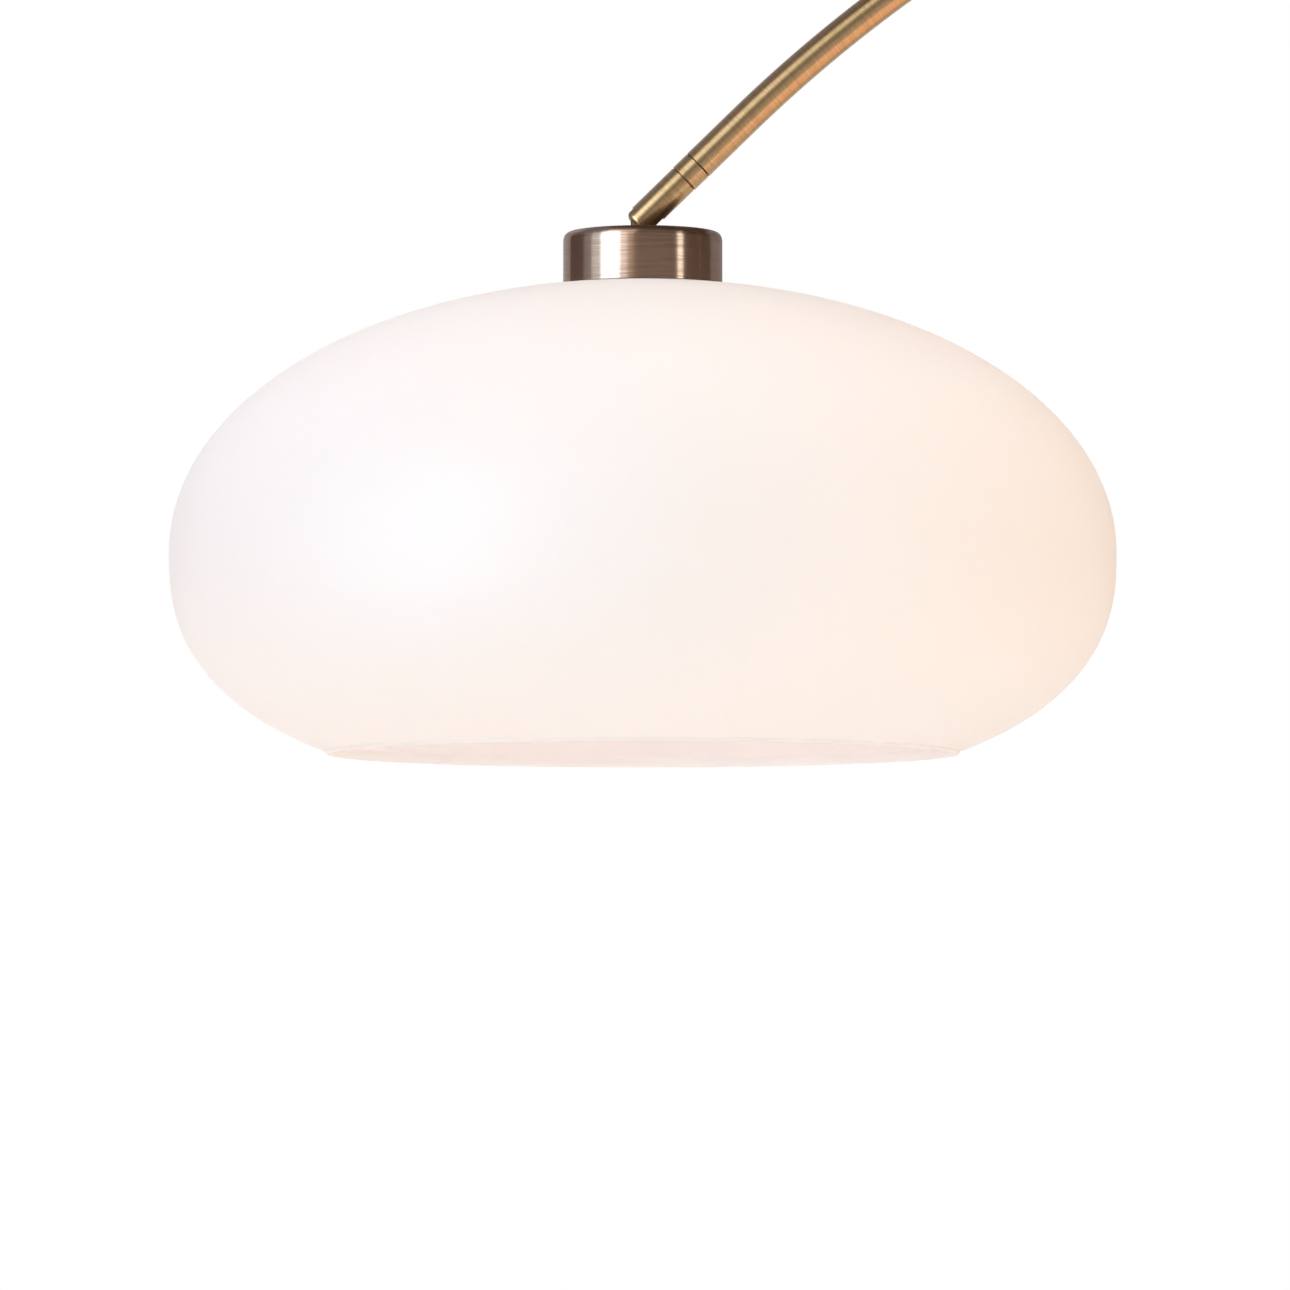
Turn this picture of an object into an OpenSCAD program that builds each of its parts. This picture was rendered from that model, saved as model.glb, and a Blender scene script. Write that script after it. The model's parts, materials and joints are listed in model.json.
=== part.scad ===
// Arc floor lamp: a weighted round base, a two-piece pole, a bent arc that slides and turns in a
// clamp collar, a swivelling and tilting knuckle, and an opal glass shade under a turned metal cap.
// +Z is up. The origin is the centre of the base's underside, on the floor. The arc reaches to -X.

/* [Base] */
// Diameter of the base cover
base_d = 380; // [320:5:440]
// Thickness of the cast weight under the cover
weight_h = 28; // [22:1:36]
// Thickness of the pressed cover
cover_t = 1.5; // [1:0.1:2.5]
// Radius of the cover's rounded top edge
cover_edge_r = 10; // [5:1:14]
// Thickness of the felt pad under the weight
pad_t = 3; // [2:0.5:5]
// Diameter of the opening in the lead gland
gland_bore_d = 6.8; // [5:0.1:8]

/* [Pole] */
// Outer diameter of the pole
pole_d = 22; // [20:0.1:30]
// Wall of the pole tubes
pole_t = 1.5; // [1:0.1:2]
// Length of each of the two pole tubes
pole_tube_l = 590; // [490:1:720]

/* [Arc] */
// Outer diameter of the arc tube
arc_d = 12.7; // [10.5:0.1:15.5]
// Wall of the arc tube
arc_t = 1.5; // [1:0.1:1.8]
// Bend radius of the arc, to the middle of the tube
arc_r = 580; // [480:1:700]
// Straight arc tube between the top of the pole and the bend
arc_rise = 180; // [160:5:280]
// Length of arc tube inside the pole
arc_engage = 320; // [270:5:340]
// Slope of the arc's free end below level, in degrees
end_slope = 44.3; // [35:0.1:55]
// Straight stretch at the free end of the arc
end_straight = 25; // [10:1:60]
// How far the arc slides down from rest
slide_down = 120; // [60:5:120]

/* [Knuckle] */
// Outer diameter of the swivel ring
ring_d = 12.5; // [12:0.1:14]
// Visible length of the swivel ring
ring_l = 8.2; // [6:0.1:12]
// Outer diameter of the fork
fork_d = 12.2; // [11.8:0.1:14.8]
// Length of the fork from the tilt axis to the swivel ring
fork_l = 22.9; // [20:0.1:30]
// Thickness of the tongue that tilts in the fork
tongue_t = 4.4; // [4:0.1:5]
// Height of the tilt axis above the cap
pivot_lift = 5.4; // [5.3:0.1:8]

/* [Shade] */
// Widest diameter of the glass
shade_d = 380; // [310:5:460]
// Height of the glass above its widest circle
shade_up = 110; // [90:1:130]
// Depth of the glass below its widest circle
shade_down = 80; // [60:1:95]
// Diameter of the mouth at the bottom of the glass
mouth_d = 254; // [200:2:270]
// Wall of the glass
glass_t = 3; // [2.5:0.1:4.5]
// Diameter of the cap over the glass
cap_d = 64; // [60:1:80]
// Height of the cap
cap_h = 21.4; // [20:0.1:26]
// Radius of the cap's rounded top edge
cap_edge_r = 4; // [2:0.5:6]
// Wall of the cap
cap_t = 1; // [0.8:0.1:1.5]

/* [Bulb] */
// Diameter of the bulb
bulb_d = 60; // [45:1:95]
// Length of the bulb from its contact to its tip
bulb_l = 107; // [95:1:125]

/* [Hidden] */
$fn = 72;
e = 0.01; // overlap that keeps a cut from ending on a face
fit = 0.05; // clearance round a fixed piece in its seat
run = 0.05; // clearance of a running fit
free = 0.3; // gap between pieces that pass each other

// Colours of the finishes
antique = [0.46, 0.37, 0.26];
brass = [0.78, 0.62, 0.34];
zinc = [0.72, 0.73, 0.74];
iron = [0.2, 0.2, 0.21];
opal = [0.98, 0.95, 0.92];
porcelain = [0.93, 0.92, 0.88];
nylon = [0.88, 0.87, 0.82];
black = [0.07, 0.07, 0.07];

// The internal lead
lead_r = 2.3;
lead_bore_r = 3;
lead_bend_r = 9; // bend where the lead turns up into the pole
core_r = 0.7; // one insulated core
core_x = 3.4; // a core's distance from the pivot screw's axis

// Base
pad_inset = 6;
cover_lift = 1.2; // the skirt's lower edge above the floor
weight_top = pad_t + weight_h;
cover_top = weight_top + fit + cover_t;
base_r = base_d / 2;
well_r = 20; // well for the nut under the weight
well_top = pad_t + 18;
washer_t = 2;
washer_r = 17;
nut_t = 6.5;
nut_af = 24;
stud_r = 8;
stud_bore_r = 4.5;
stud_low = well_top - 5.5;
stud_in_insert = 26;
lead_z = well_top - washer_t - nut_t - lead_r - 0.7; // height of the lead under the nut
gland_z = max(lead_z, pad_t + 6.5);
gland_barrel_r = gland_bore_d / 2 + 1.6;
gland_flange_r = gland_barrel_r + 2;
gland_flange_t = 2;
gland_in = 12; // how far the gland reaches into the base
channel_w = 2 * gland_barrel_r + 2;

// Pole
pole_r = pole_d / 2;
pole_bore_r = pole_r - pole_t;
plug_r = pole_bore_r - fit; // pieces pressed into the pole
foot_r = 24;
foot_h = 20;
foot_floor = 6; // the pole stands this far above the cover
pole_low = cover_top + foot_floor;
pole_mid = pole_low + pole_tube_l;
pole_top = pole_mid + pole_tube_l;
insert_l = 30;
coupler_l = 80;
coupler_bore_r = 6.5;
edge = 0.4; // small chamfer on tube ends and turned edges

// Arc
bend_start_z = pole_top + arc_rise;
tail_l = arc_rise + arc_engage;
arc_tube_r = arc_d / 2;
arc_bore_r = arc_tube_r - arc_t;
arc_low = bend_start_z - tail_l;
bend_end = 90 + end_slope;
joint_at = 58; // where the two arc tubes meet, in degrees round the bend
spigot_half = 2.5; // the spigot reaches this many degrees into each tube
grub_from_joint = 1.5;
arc_spigot_r = arc_bore_r - fit;
arc_grub_r = 2;

// Clamp collar and its screw
collar_r = pole_r + 4.5;
collar_skirt = 18; // part of the collar over the pole
collar_up = 27; // part of the collar above the pole
bush_l = 10;
bush_r = max(pole_bore_r - 0.5, arc_tube_r + 2);
screw_z = pole_top + 18.5;
screw_r = 3; // M6
pad_tip_r = 2.2;
pad_tip_l = 2;
pad_tip_x = arc_tube_r + free;
screw_tip_x = pad_tip_x + pad_tip_l + run;
screw_neck_r = 4.5;
knob_r = 8.5;
knob_l = 9;
knob_x = collar_r + 2;
knurls = 24;
collar_grub_z = pole_top - collar_skirt / 2;

// Glide bush on the arc's lower end
glide_r = pole_bore_r - 0.1;
glide_l = 32;
glide_floor = 6;
lead_split_z = arc_low - slide_down - glide_floor - 34; // the fixed lead ends below the arc's lowest place

// Swivel: the ring's journal turns in the fork
bearing_wall = 1.8; // wall of the fork round the journal
journal_r = fork_d / 2 - bearing_wall;
journal_l = 9.5;
ring_spigot_l = 16;
groove_z = fork_l - 4.9;
groove_w = 2.6;
groove_depth = 0.8;
groove_web = 8; // width of the stop left in the groove, in degrees
grub_r = 1.25;

// Knuckle
washer_gap_t = 0.55; // friction washer
fork_r = fork_d / 2;
slot_w = tongue_t + 2 * (washer_gap_t + run) + 0.1;
eye_r = 5;
eye_clear = 0.4;
slot_top = 6;
pivot_r = 2;
pivot_head_r = 3;
pivot_head_y = slot_w / 2 + 0.85;
pivot_head_t = sqrt(fork_r * fork_r - pivot_head_r * pivot_head_r) - pivot_head_y - 0.1;
pivot_blind = fork_r - 1.2; // depth of the blind thread in the front ear
end_fillet = 2;
end_dome_r = 9;
end_tip = 5; // the fork's end, from the tilt axis
tilt_out = 25; // how far the shade tilts outward from rest
relief_slope = 25; // of the flat on the open side, which clears the cap then
relief_z = (fork_r * cos(end_slope - tilt_out) - pivot_lift + 0.27) / sin(end_slope - tilt_out);
end_swing_r = pivot_lift - 0.2; // the open side's end stays inside this

// Place of the tilt axis
reach_l = end_straight + ring_l + fork_l;
pivot_x = -(arc_r * (1 + sin(end_slope)) + reach_l * cos(end_slope));
pivot_z = bend_start_z + arc_r * cos(end_slope) - reach_l * sin(end_slope);

// Shade and holder, as heights from the tilt axis
dome_n = 2.05; // roundness of the upper glass, where 2 is an ellipse
bowl_n = 2.45; // roundness of the lower glass
lip_h = 2;
cap_top = -pivot_lift;
cap_r = cap_d / 2;
stem_r = 5; // M10
stem_l = 12;
tongue_w = 9.4;
nut_gap = 0.1;
stem_nut_t = 3;
stem_nut_af = 14;
holder_r = 19.5;
holder_wall = 1.7;
neck_hole_r = holder_r + 0.8;
glass_seat = 0.2; // the cap's edge above the glass
shade_r = shade_d / 2;
mouth_r = mouth_d / 2;
equator = cap_top - cap_h - glass_seat - glass_z(shade_r, shade_up, dome_n, cap_r - cap_t);
rim = equator - shade_down;
gasket_t = 1;
gasket_r = 26;
gasket_gap = 0.1; // between the lower gasket and the curved underside of the glass
neck_top = equator + glass_z(shade_r, shade_up, dome_n, neck_hole_r);
neck_under = equator - gasket_gap + glass_z(shade_r - glass_t, shade_up - glass_t, dome_n, gasket_r);
ring_up_t = 3;
dome_top = cap_top - cap_t - nut_gap - stem_nut_t - 1.6;
dome_low = neck_top + gasket_t + ring_up_t + 1;
skirt_low = dome_low - 42;
insert_top = dome_low - 7;
insert_t = 10;
shell_r = 14.2;
shell_t = 0.6;
shell_l = 23;
contact_z = insert_top - insert_t - 2.4;
cap_thread_r = 13.1;
bulb_cap_l = 25;
bulb_r = bulb_d / 2;
bulb_neck_r = 13.9;
bulb_low = contact_z - bulb_l;
bulb_wall = 1.2;

// Points of an arc round a centre, from one angle to another
function arc_points(x, z, r, from, to, steps = 8) =
    [for (i = [0:steps]) let (a = from + (to - from) * i / steps) [x + r * cos(a), z + r * sin(a)]];

// Height of a rounded dome of radius a and height b at the distance r from its axis
function glass_z(a, b, n, r) = b * pow(1 - pow(r / a, n), 1 / n);

// The same curve by angle, so that its points are spread evenly
function glass_curve(a, b, n, from, to, steps) =
    [for (i = [0:steps]) let (t = from + (to - from) * i / steps)
        [a * pow(cos(t), 2 / n), b * pow(sin(t), 2 / n)]];

// The angle at which that curve is at the distance r from its axis
function glass_angle(a, n, r) = acos(pow(r / a, n / 2));

// Height scale of the lower glass that brings it to radius r at depth d
function bowl_height(a, n, r, d) = d / pow(1 - pow(r / a, n), 1 / n);

// Frames: the fork's axis points up the tube, and its +X side is the open side of the slot
module at_fork() translate([pivot_x, 0, pivot_z]) rotate([0, 90 - end_slope, 0]) children();
module at_head() translate([pivot_x, 0, pivot_z]) children();
// A place round the bend: +X points away from the bend's centre
module at_bend(angle) translate([-arc_r, 0, bend_start_z]) rotate([0, -angle, 0])
    translate([arc_r, 0, 0]) children();

module ring(r_out, r_in, h) {
    difference() {
        cylinder(r = r_out, h = h);
        translate([0, 0, -1]) cylinder(r = r_in, h = h + 2);
    }
}

// A tube whose outer ends have a small chamfer
module tube(r_out, r_in, h) {
    rotate_extrude()
        polygon([
            [r_in, 0], [r_out - edge, 0], [r_out, edge],
            [r_out, h - edge], [r_out - edge, h], [r_in, h],
        ]);
}

// A solid bar that follows the bend
module bend_bar(r, from, to) {
    translate([-arc_r, 0, bend_start_z]) rotate([90, 0, 0]) rotate([0, 0, from])
        rotate_extrude(angle = to - from) translate([arc_r, 0]) circle(r = r);
}

// A straight leg up to z = 0 that goes on as a bend towards -X
module leg_and_bend(r, leg, angle) {
    translate([0, 0, -leg]) cylinder(r = r, h = leg);
    translate([-arc_r, 0, 0]) rotate([90, 0, 0])
        rotate_extrude(angle = angle) translate([arc_r, 0]) circle(r = r);
}

module hex_nut(af, t, hole_r) {
    difference() {
        cylinder(r = af / 2 / cos(30), h = t, $fn = 6);
        translate([0, 0, -1]) cylinder(r = hole_r, h = t + 2);
    }
}

// Set screw from z = 0 down to -l, with a hexagon socket
module set_screw(r, l, key_r) {
    difference() {
        translate([0, 0, -l]) cylinder(r = r, h = l);
        translate([0, 0, -l / 2]) cylinder(r = key_r, h = l, $fn = 6);
    }
}

// ---- Base ----
module base_pad() {
    color("dimgray") cylinder(r = base_r - pad_inset, h = pad_t);
}

module base_weight() {
    r = base_r - cover_t - 2 * fit;
    edge_r = cover_edge_r;
    color(iron) difference() {
        translate([0, 0, pad_t]) rotate_extrude()
            polygon(concat(
                [[stud_r + free, 0], [r, 0]],
                arc_points(r - edge_r, weight_h - edge_r, edge_r, 0, 90),
                [[stud_r + free, weight_h]]
            ));
        translate([0, 0, pad_t - 1]) cylinder(r = well_r, h = well_top - pad_t + 1);
        translate([0, -channel_w / 2, pad_t - 1])
            cube([base_r, channel_w, gland_z + gland_barrel_r + 1 - pad_t + 1]);
    }
}

module base_cover() {
    r_in = base_r - cover_t;
    edge_in = cover_edge_r - cover_t;
    color(antique) difference() {
        rotate_extrude()
            polygon(concat(
                [[stud_r + free, cover_top - cover_t], [stud_r + free, cover_top]],
                arc_points(base_r - cover_edge_r, cover_top - cover_edge_r, cover_edge_r, 90, 0),
                [[base_r, cover_lift], [r_in, cover_lift]],
                arc_points(base_r - cover_edge_r, cover_top - cover_edge_r, edge_in, 0, 90)
            ));
        translate([base_r - 10, 0, gland_z]) rotate([0, 90, 0])
            cylinder(r = gland_barrel_r + fit, h = 20);
    }
}

module lead_gland() {
    color(black) translate([base_r - gland_in, 0, gland_z]) rotate([0, 90, 0])
        rotate_extrude()
        polygon([
            [gland_bore_d / 2, 0], [gland_barrel_r, 0], [gland_barrel_r, gland_in],
            [gland_flange_r, gland_in], [gland_flange_r, gland_in + gland_flange_t / 2],
            [gland_flange_r - 1, gland_in + gland_flange_t],
            [gland_bore_d / 2, gland_in + gland_flange_t],
        ]);
}

module base_stud() {
    color(zinc) translate([0, 0, stud_low])
        ring(stud_r, stud_bore_r, pole_low + stud_in_insert - stud_low);
}

module base_washer() {
    color(zinc) translate([0, 0, well_top - washer_t - fit]) ring(washer_r, stud_r + free, washer_t);
}

module base_nut() {
    color(zinc) translate([0, 0, well_top - washer_t - 2 * fit - nut_t]) hex_nut(nut_af, nut_t, stud_r + run);
}

// ---- Pole ----
module pole_foot() {
    lip = 3;
    top_r = pole_r + 2.2;
    sweep = foot_h - lip - 2;
    color(antique) translate([0, 0, cover_top]) rotate_extrude()
        polygon(concat(
            [[stud_r + fit, 0], [foot_r, 0]],
            arc_points(foot_r - lip / 2, lip / 2, lip / 2, 0, 60, 4),
            [for (i = [0:10]) let (a = 90 * i / 10)
                [foot_r - 2 - (foot_r - 2 - top_r) * sin(a), lip + sweep * (1 - cos(a))]],
            [[top_r, foot_h - edge], [top_r - edge, foot_h], [pole_r + fit, foot_h]],
            [[pole_r + fit, foot_floor - fit], [stud_r + fit, foot_floor - fit]]
        ));
}

module pole_insert() {
    color(zinc) translate([0, 0, pole_low + edge]) ring(plug_r, stud_r + run, insert_l);
}

module pole_lower() {
    color(antique) translate([0, 0, pole_low]) tube(pole_r, pole_bore_r, pole_tube_l);
}

module pole_coupler() {
    color(zinc) translate([0, 0, pole_mid - coupler_l / 2]) ring(plug_r, coupler_bore_r, coupler_l);
}

module pole_upper() {
    color(antique) translate([0, 0, pole_mid]) tube(pole_r, pole_bore_r, pole_tube_l);
}

// ---- Clamp ----
module clamp_collar() {
    h = collar_skirt + collar_up;
    round_r = 3;
    color(antique) difference() {
        translate([0, 0, pole_top - collar_skirt]) rotate_extrude()
            polygon(concat(
                [[pole_r + fit, 0], [collar_r - edge, 0], [collar_r, edge]],
                arc_points(collar_r - round_r, h - round_r, round_r, 0, 90, 6),
                [[arc_tube_r + free, h], [arc_tube_r + free, collar_skirt + bush_l + fit]],
                [[bush_r + fit, collar_skirt + bush_l + fit], [bush_r + fit, collar_skirt + fit]],
                [[pole_r + fit, collar_skirt + fit]]
            ));
        translate([0, 0, screw_z]) rotate([0, 90, 0]) cylinder(r = screw_r + run, h = collar_r + 5);
        translate([0, 0, collar_grub_z]) rotate([-90, 0, 0])
            cylinder(r = arc_grub_r + fit, h = collar_r + 5);
    }
}

module collar_bush() {
    color(nylon) translate([0, 0, pole_top + fit]) ring(bush_r, arc_tube_r + run, bush_l - fit);
}

module collar_grub_screw() {
    color(zinc) translate([0, collar_r - 0.4, collar_grub_z]) rotate([-90, 0, 0])
        set_screw(arc_grub_r, collar_r - 0.4 - pole_r - fit, 1);
}

module clamp_pad() {
    color(nylon) translate([pad_tip_x, 0, screw_z]) rotate([0, 90, 0]) cylinder(r = pad_tip_r, h = pad_tip_l);
}

module clamp_screw() {
    color(antique) translate([0, 0, screw_z]) rotate([0, 90, 0]) difference() {
        rotate_extrude()
            polygon([
                [0, screw_tip_x], [screw_r - edge, screw_tip_x], [screw_r, screw_tip_x + edge],
                [screw_r, collar_r + 0.6], [screw_neck_r, collar_r + 0.6], [screw_neck_r, knob_x],
                [knob_r - 1, knob_x], [knob_r, knob_x + 1], [knob_r, knob_x + knob_l - 1],
                [knob_r - 1, knob_x + knob_l], [knob_r - 3, knob_x + knob_l],
                [knob_r - 3.5, knob_x + knob_l - 0.6], [0, knob_x + knob_l - 0.6],
            ]);
        for (i = [0:knurls - 1]) rotate([0, 0, 360 * i / knurls]) translate([knob_r + 0.3, 0, knob_x - 1])
            cylinder(r = 0.8, h = knob_l + 2);
    }
}

// ---- Lead inside the lamp ----
module lead_pole() {
    turn_z = gland_z + lead_bend_r;
    color(black) {
        translate([lead_bend_r, 0, gland_z]) rotate([0, 90, 0])
            cylinder(r = lead_r, h = base_r - gland_in - 6 - lead_bend_r);
        translate([lead_bend_r, 0, turn_z]) rotate([90, 0, 0]) rotate([0, 0, 180])
            rotate_extrude(angle = 90) translate([lead_bend_r, 0]) circle(r = lead_r);
        translate([0, 0, turn_z]) cylinder(r = lead_r, h = lead_split_z - turn_z);
    }
}

module lead_slack() {
    color(black) translate([0, 0, lead_split_z]) cylinder(r = lead_r, h = arc_low - glide_floor - lead_split_z);
}

module lead_arc() {
    leg = tail_l + glide_floor;
    lap = 1; // the straight end starts this far inside the bent stretch, and a hair thinner
    color(black) {
        translate([0, 0, bend_start_z]) leg_and_bend(lead_r, leg, bend_end);
        at_bend(bend_end) translate([0, 0, -lap]) cylinder(r = lead_r - e, h = reach_l - slot_top - 2 + lap);
    }
}

// ---- Arc ----
module glide_bush() {
    color(nylon) translate([0, 0, arc_low - glide_floor]) rotate_extrude()
        polygon([
            [lead_r + 1, 0], [glide_r - 1, 0], [glide_r, 1], [glide_r, glide_l - 1], [glide_r - 1, glide_l],
            [arc_tube_r + run, glide_l], [arc_tube_r + run, glide_floor - fit], [lead_r + 1, glide_floor - fit],
        ]);
}

module arc_lower() {
    color(antique) difference() {
        translate([0, 0, bend_start_z]) leg_and_bend(arc_tube_r, tail_l, joint_at);
        translate([0, 0, bend_start_z]) leg_and_bend(arc_bore_r, tail_l, joint_at);
        at_bend(joint_at - grub_from_joint) rotate([0, -90, 0]) cylinder(r = arc_grub_r + fit, h = 20);
    }
}

module arc_upper() {
    angle = bend_end - joint_at;
    color(antique) difference() {
        at_bend(bend_end) mirror([0, 0, 1]) leg_and_bend(arc_tube_r, end_straight, angle);
        at_bend(bend_end) mirror([0, 0, 1]) leg_and_bend(arc_bore_r, end_straight, angle);
        at_bend(joint_at + grub_from_joint) rotate([0, -90, 0]) cylinder(r = arc_grub_r + fit, h = 20);
    }
}

module arc_spigot() {
    color(zinc) difference() {
        bend_bar(arc_spigot_r, joint_at - spigot_half, joint_at + spigot_half);
        bend_bar(lead_bore_r, joint_at - spigot_half - 0.1, joint_at + spigot_half + 0.1);
        for (side = [-1, 1]) at_bend(joint_at + side * grub_from_joint) rotate([0, -90, 0])
            cylinder(r = arc_grub_r + fit, h = 20);
    }
}

module arc_grub_screws() {
    color(zinc) for (side = [-1, 1]) at_bend(joint_at + side * grub_from_joint) rotate([0, -90, 0])
        translate([0, 0, arc_tube_r - 0.4]) set_screw(arc_grub_r, arc_tube_r - 0.4 - lead_bore_r, 1);
}

// ---- Knuckle ----
module swivel_ring() {
    top = fork_l + ring_l;
    color(antique) at_fork() difference() {
        rotate_extrude()
            polygon([
                [lead_bore_r, fork_l - journal_l], [journal_r, fork_l - journal_l], [journal_r, fork_l + run],
                [ring_d / 2 - edge, fork_l + run], [ring_d / 2, fork_l + run + edge],
                [ring_d / 2, top - edge - fit], [ring_d / 2 - edge, top - fit], [arc_spigot_r, top - fit],
                [arc_spigot_r, top + ring_spigot_l], [lead_bore_r, top + ring_spigot_l],
            ]);
        // The groove stops at a web, which the grub screw meets after most of a turn each way
        translate([0, 0, groove_z - groove_w / 2]) rotate([0, 0, -90 + groove_web / 2])
            rotate_extrude(angle = 360 - groove_web)
            translate([journal_r - groove_depth, 0]) square([2, groove_w]);
    }
}

module knuckle_fork() {
    fillet_to = 61; // the rounded corner ends where it meets the domed end
    dome_from = 35;
    color(antique) at_fork() difference() {
        rotate_extrude()
            polygon(concat(
                [[0, fork_l], [fork_r - edge, fork_l], [fork_r, fork_l - edge]],
                arc_points(fork_r - end_fillet, -end_fillet, end_fillet, 0, -fillet_to, 6),
                arc_points(0, end_dome_r - end_tip, end_dome_r, -90 + 28, -90, 6)
            ));
        // Bearing for the ring's journal, then the passage for the lead
        translate([0, 0, fork_l - journal_l - 0.5]) cylinder(r = journal_r + run, h = journal_l + 1);
        cylinder(r = lead_bore_r, h = fork_l);
        // Slot: round about the tilt axis, open past the end and on the +X side
        rotate([90, 0, 0]) cylinder(r = eye_r + eye_clear, h = slot_w, center = true);
        translate([-fork_d, -slot_w / 2, -fork_d]) cube([2 * fork_d, slot_w, fork_d]);
        translate([0, -slot_w / 2, -fork_d]) cube([fork_d, slot_w, fork_d + slot_top]);
        // Flat on the open side that clears the cap as the shade tilts
        translate([fork_r, 0, relief_z]) rotate([0, relief_slope, 0])
            translate([0, -fork_d, -4 * fork_d]) cube([fork_d, 2 * fork_d, 4 * fork_d]);
        difference() {
            translate([0, -fork_d, -fork_d]) cube([fork_d, 2 * fork_d, fork_d]);
            rotate([90, 0, 0]) cylinder(r = end_swing_r, h = 3 * fork_d, center = true);
        }
        // Pivot screw: through the back ear, blind in the front one
        translate([0, -pivot_blind, 0]) rotate([-90, 0, 0]) cylinder(r = pivot_r + run, h = fork_d);
        translate([0, pivot_head_y, 0]) rotate([-90, 0, 0]) cylinder(r = pivot_head_r + 0.15, h = fork_d);
        translate([0, 0, groove_z]) rotate([-90, 0, 0]) cylinder(r = grub_r + run, h = fork_d);
    }
}

module swivel_grub_screw() {
    tip = journal_r - groove_depth + 0.15;
    color(zinc) at_fork() translate([0, fork_r - 0.3, groove_z]) rotate([-90, 0, 0])
        set_screw(grub_r, fork_r - 0.3 - tip, 0.65);
}

module pivot_screw() {
    color(zinc) at_fork() rotate([-90, 0, 0]) difference() {
        union() {
            translate([0, 0, -pivot_blind + 0.3]) cylinder(r = pivot_r, h = pivot_blind - 0.3 + pivot_head_y + fit + e);
            translate([0, 0, pivot_head_y + fit]) cylinder(r = pivot_head_r, h = pivot_head_t);
        }
        translate([0, 0, pivot_head_y + fit + pivot_head_t - 0.8]) cylinder(r = 1.4, h = 5, $fn = 6);
    }
}

module friction_washers() {
    color(nylon) at_fork() for (side = [0, 1]) mirror([0, side, 0])
        translate([0, slot_w / 2 - 0.05, 0]) rotate([90, 0, 0])
        ring(eye_r - 0.3, pivot_r + run + 0.1, washer_gap_t);
}

// ---- Head: the tongue and all that hangs from it ----
module knuckle_tongue() {
    color(antique) at_head() difference() {
        union() {
            rotate([90, 0, 0]) cylinder(r = eye_r, h = tongue_t, center = true);
            rotate([90, 0, 0]) linear_extrude(tongue_t, center = true)
                polygon([[-eye_r, 0], [eye_r, 0], [tongue_w / 2, cap_top + 1.5], [tongue_w / 2, cap_top],
                    [-tongue_w / 2, cap_top], [-tongue_w / 2, cap_top + 1.5]]);
            translate([0, 0, cap_top - stem_l]) cylinder(r = stem_r, h = stem_l);
        }
        translate([0, 0, cap_top - stem_l - 1]) cylinder(r = lead_bore_r, h = stem_l + 1);
        rotate([90, 0, 0]) cylinder(r = pivot_r + run, h = 20, center = true);
        for (side = [-1, 1]) translate([side * core_x, 0, cap_top - 2]) cylinder(r = core_r + 0.2, h = 20);
    }
}

module shade_cap() {
    inner_r = cap_edge_r - cap_t;
    color(antique) at_head() rotate_extrude()
        polygon(concat(
            [[stem_r + fit, cap_top - cap_t], [stem_r + fit, cap_top]],
            arc_points(cap_r - cap_edge_r, cap_top - cap_edge_r, cap_edge_r, 90, 0, 8),
            [[cap_r, cap_top - cap_h], [cap_r - cap_t, cap_top - cap_h]],
            arc_points(cap_r - cap_edge_r, cap_top - cap_edge_r, inner_r, 0, 90, 8)
        ));
}

module stem_nut() {
    color(zinc) at_head() translate([0, 0, cap_top - cap_t - nut_gap - stem_nut_t])
        hex_nut(stem_nut_af, stem_nut_t, stem_r + run);
}

module holder_dome() {
    neck_r = 7.5;
    shoulder = dome_top - 3;
    color(black) at_head() rotate_extrude()
        polygon(concat(
            [[stem_r + run, dome_top], [neck_r, dome_top], [neck_r, shoulder]],
            [for (i = [1:8]) let (a = 90 * i / 8)
                [neck_r + (holder_r - neck_r) * sin(a), dome_low + (shoulder - dome_low) * cos(a)]],
            [for (i = [8:-1:1]) let (a = 90 * i / 8)
                [neck_r + (holder_r - holder_wall - neck_r) * sin(a),
                    dome_low + (shoulder - 1.2 - dome_low) * cos(a)]],
            [[stem_r + run, shoulder - 1.2]]
        ));
}

module holder_skirt() {
    threads = 12;
    pitch = (dome_low - skirt_low - 4) / threads;
    thread_depth = 0.5;
    color(black) at_head() rotate_extrude()
        polygon(concat(
            [[holder_r - holder_wall, dome_low - fit], [holder_r - thread_depth, dome_low - fit]],
            [for (i = [0:threads - 1]) each [
                [holder_r - thread_depth, dome_low - 2 - i * pitch],
                [holder_r, dome_low - 2 - (i + 0.5) * pitch],
            ]],
            [[holder_r - thread_depth, skirt_low], [holder_r - holder_wall, skirt_low]]
        ));
}

module shade_ring_upper() {
    color(black) at_head() translate([0, 0, neck_top + gasket_t + fit]) ring(gasket_r, holder_r + run, ring_up_t);
}

module shade_ring_lower() {
    flange_r = 28;
    collar_r = 23;
    top = neck_under - gasket_t - fit;
    color(black) at_head() rotate_extrude()
        polygon([
            [holder_r + run, top], [flange_r, top], [flange_r, top - 2], [collar_r, top - 3],
            [collar_r, top - 10], [collar_r - 1, top - 11], [holder_r + run, top - 11],
        ]);
}

module glass_gaskets() {
    color(nylon) at_head() {
        translate([0, 0, neck_top]) ring(gasket_r, neck_hole_r, gasket_t);
        translate([0, 0, neck_under - gasket_t]) ring(gasket_r, neck_hole_r, gasket_t);
    }
}

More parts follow.
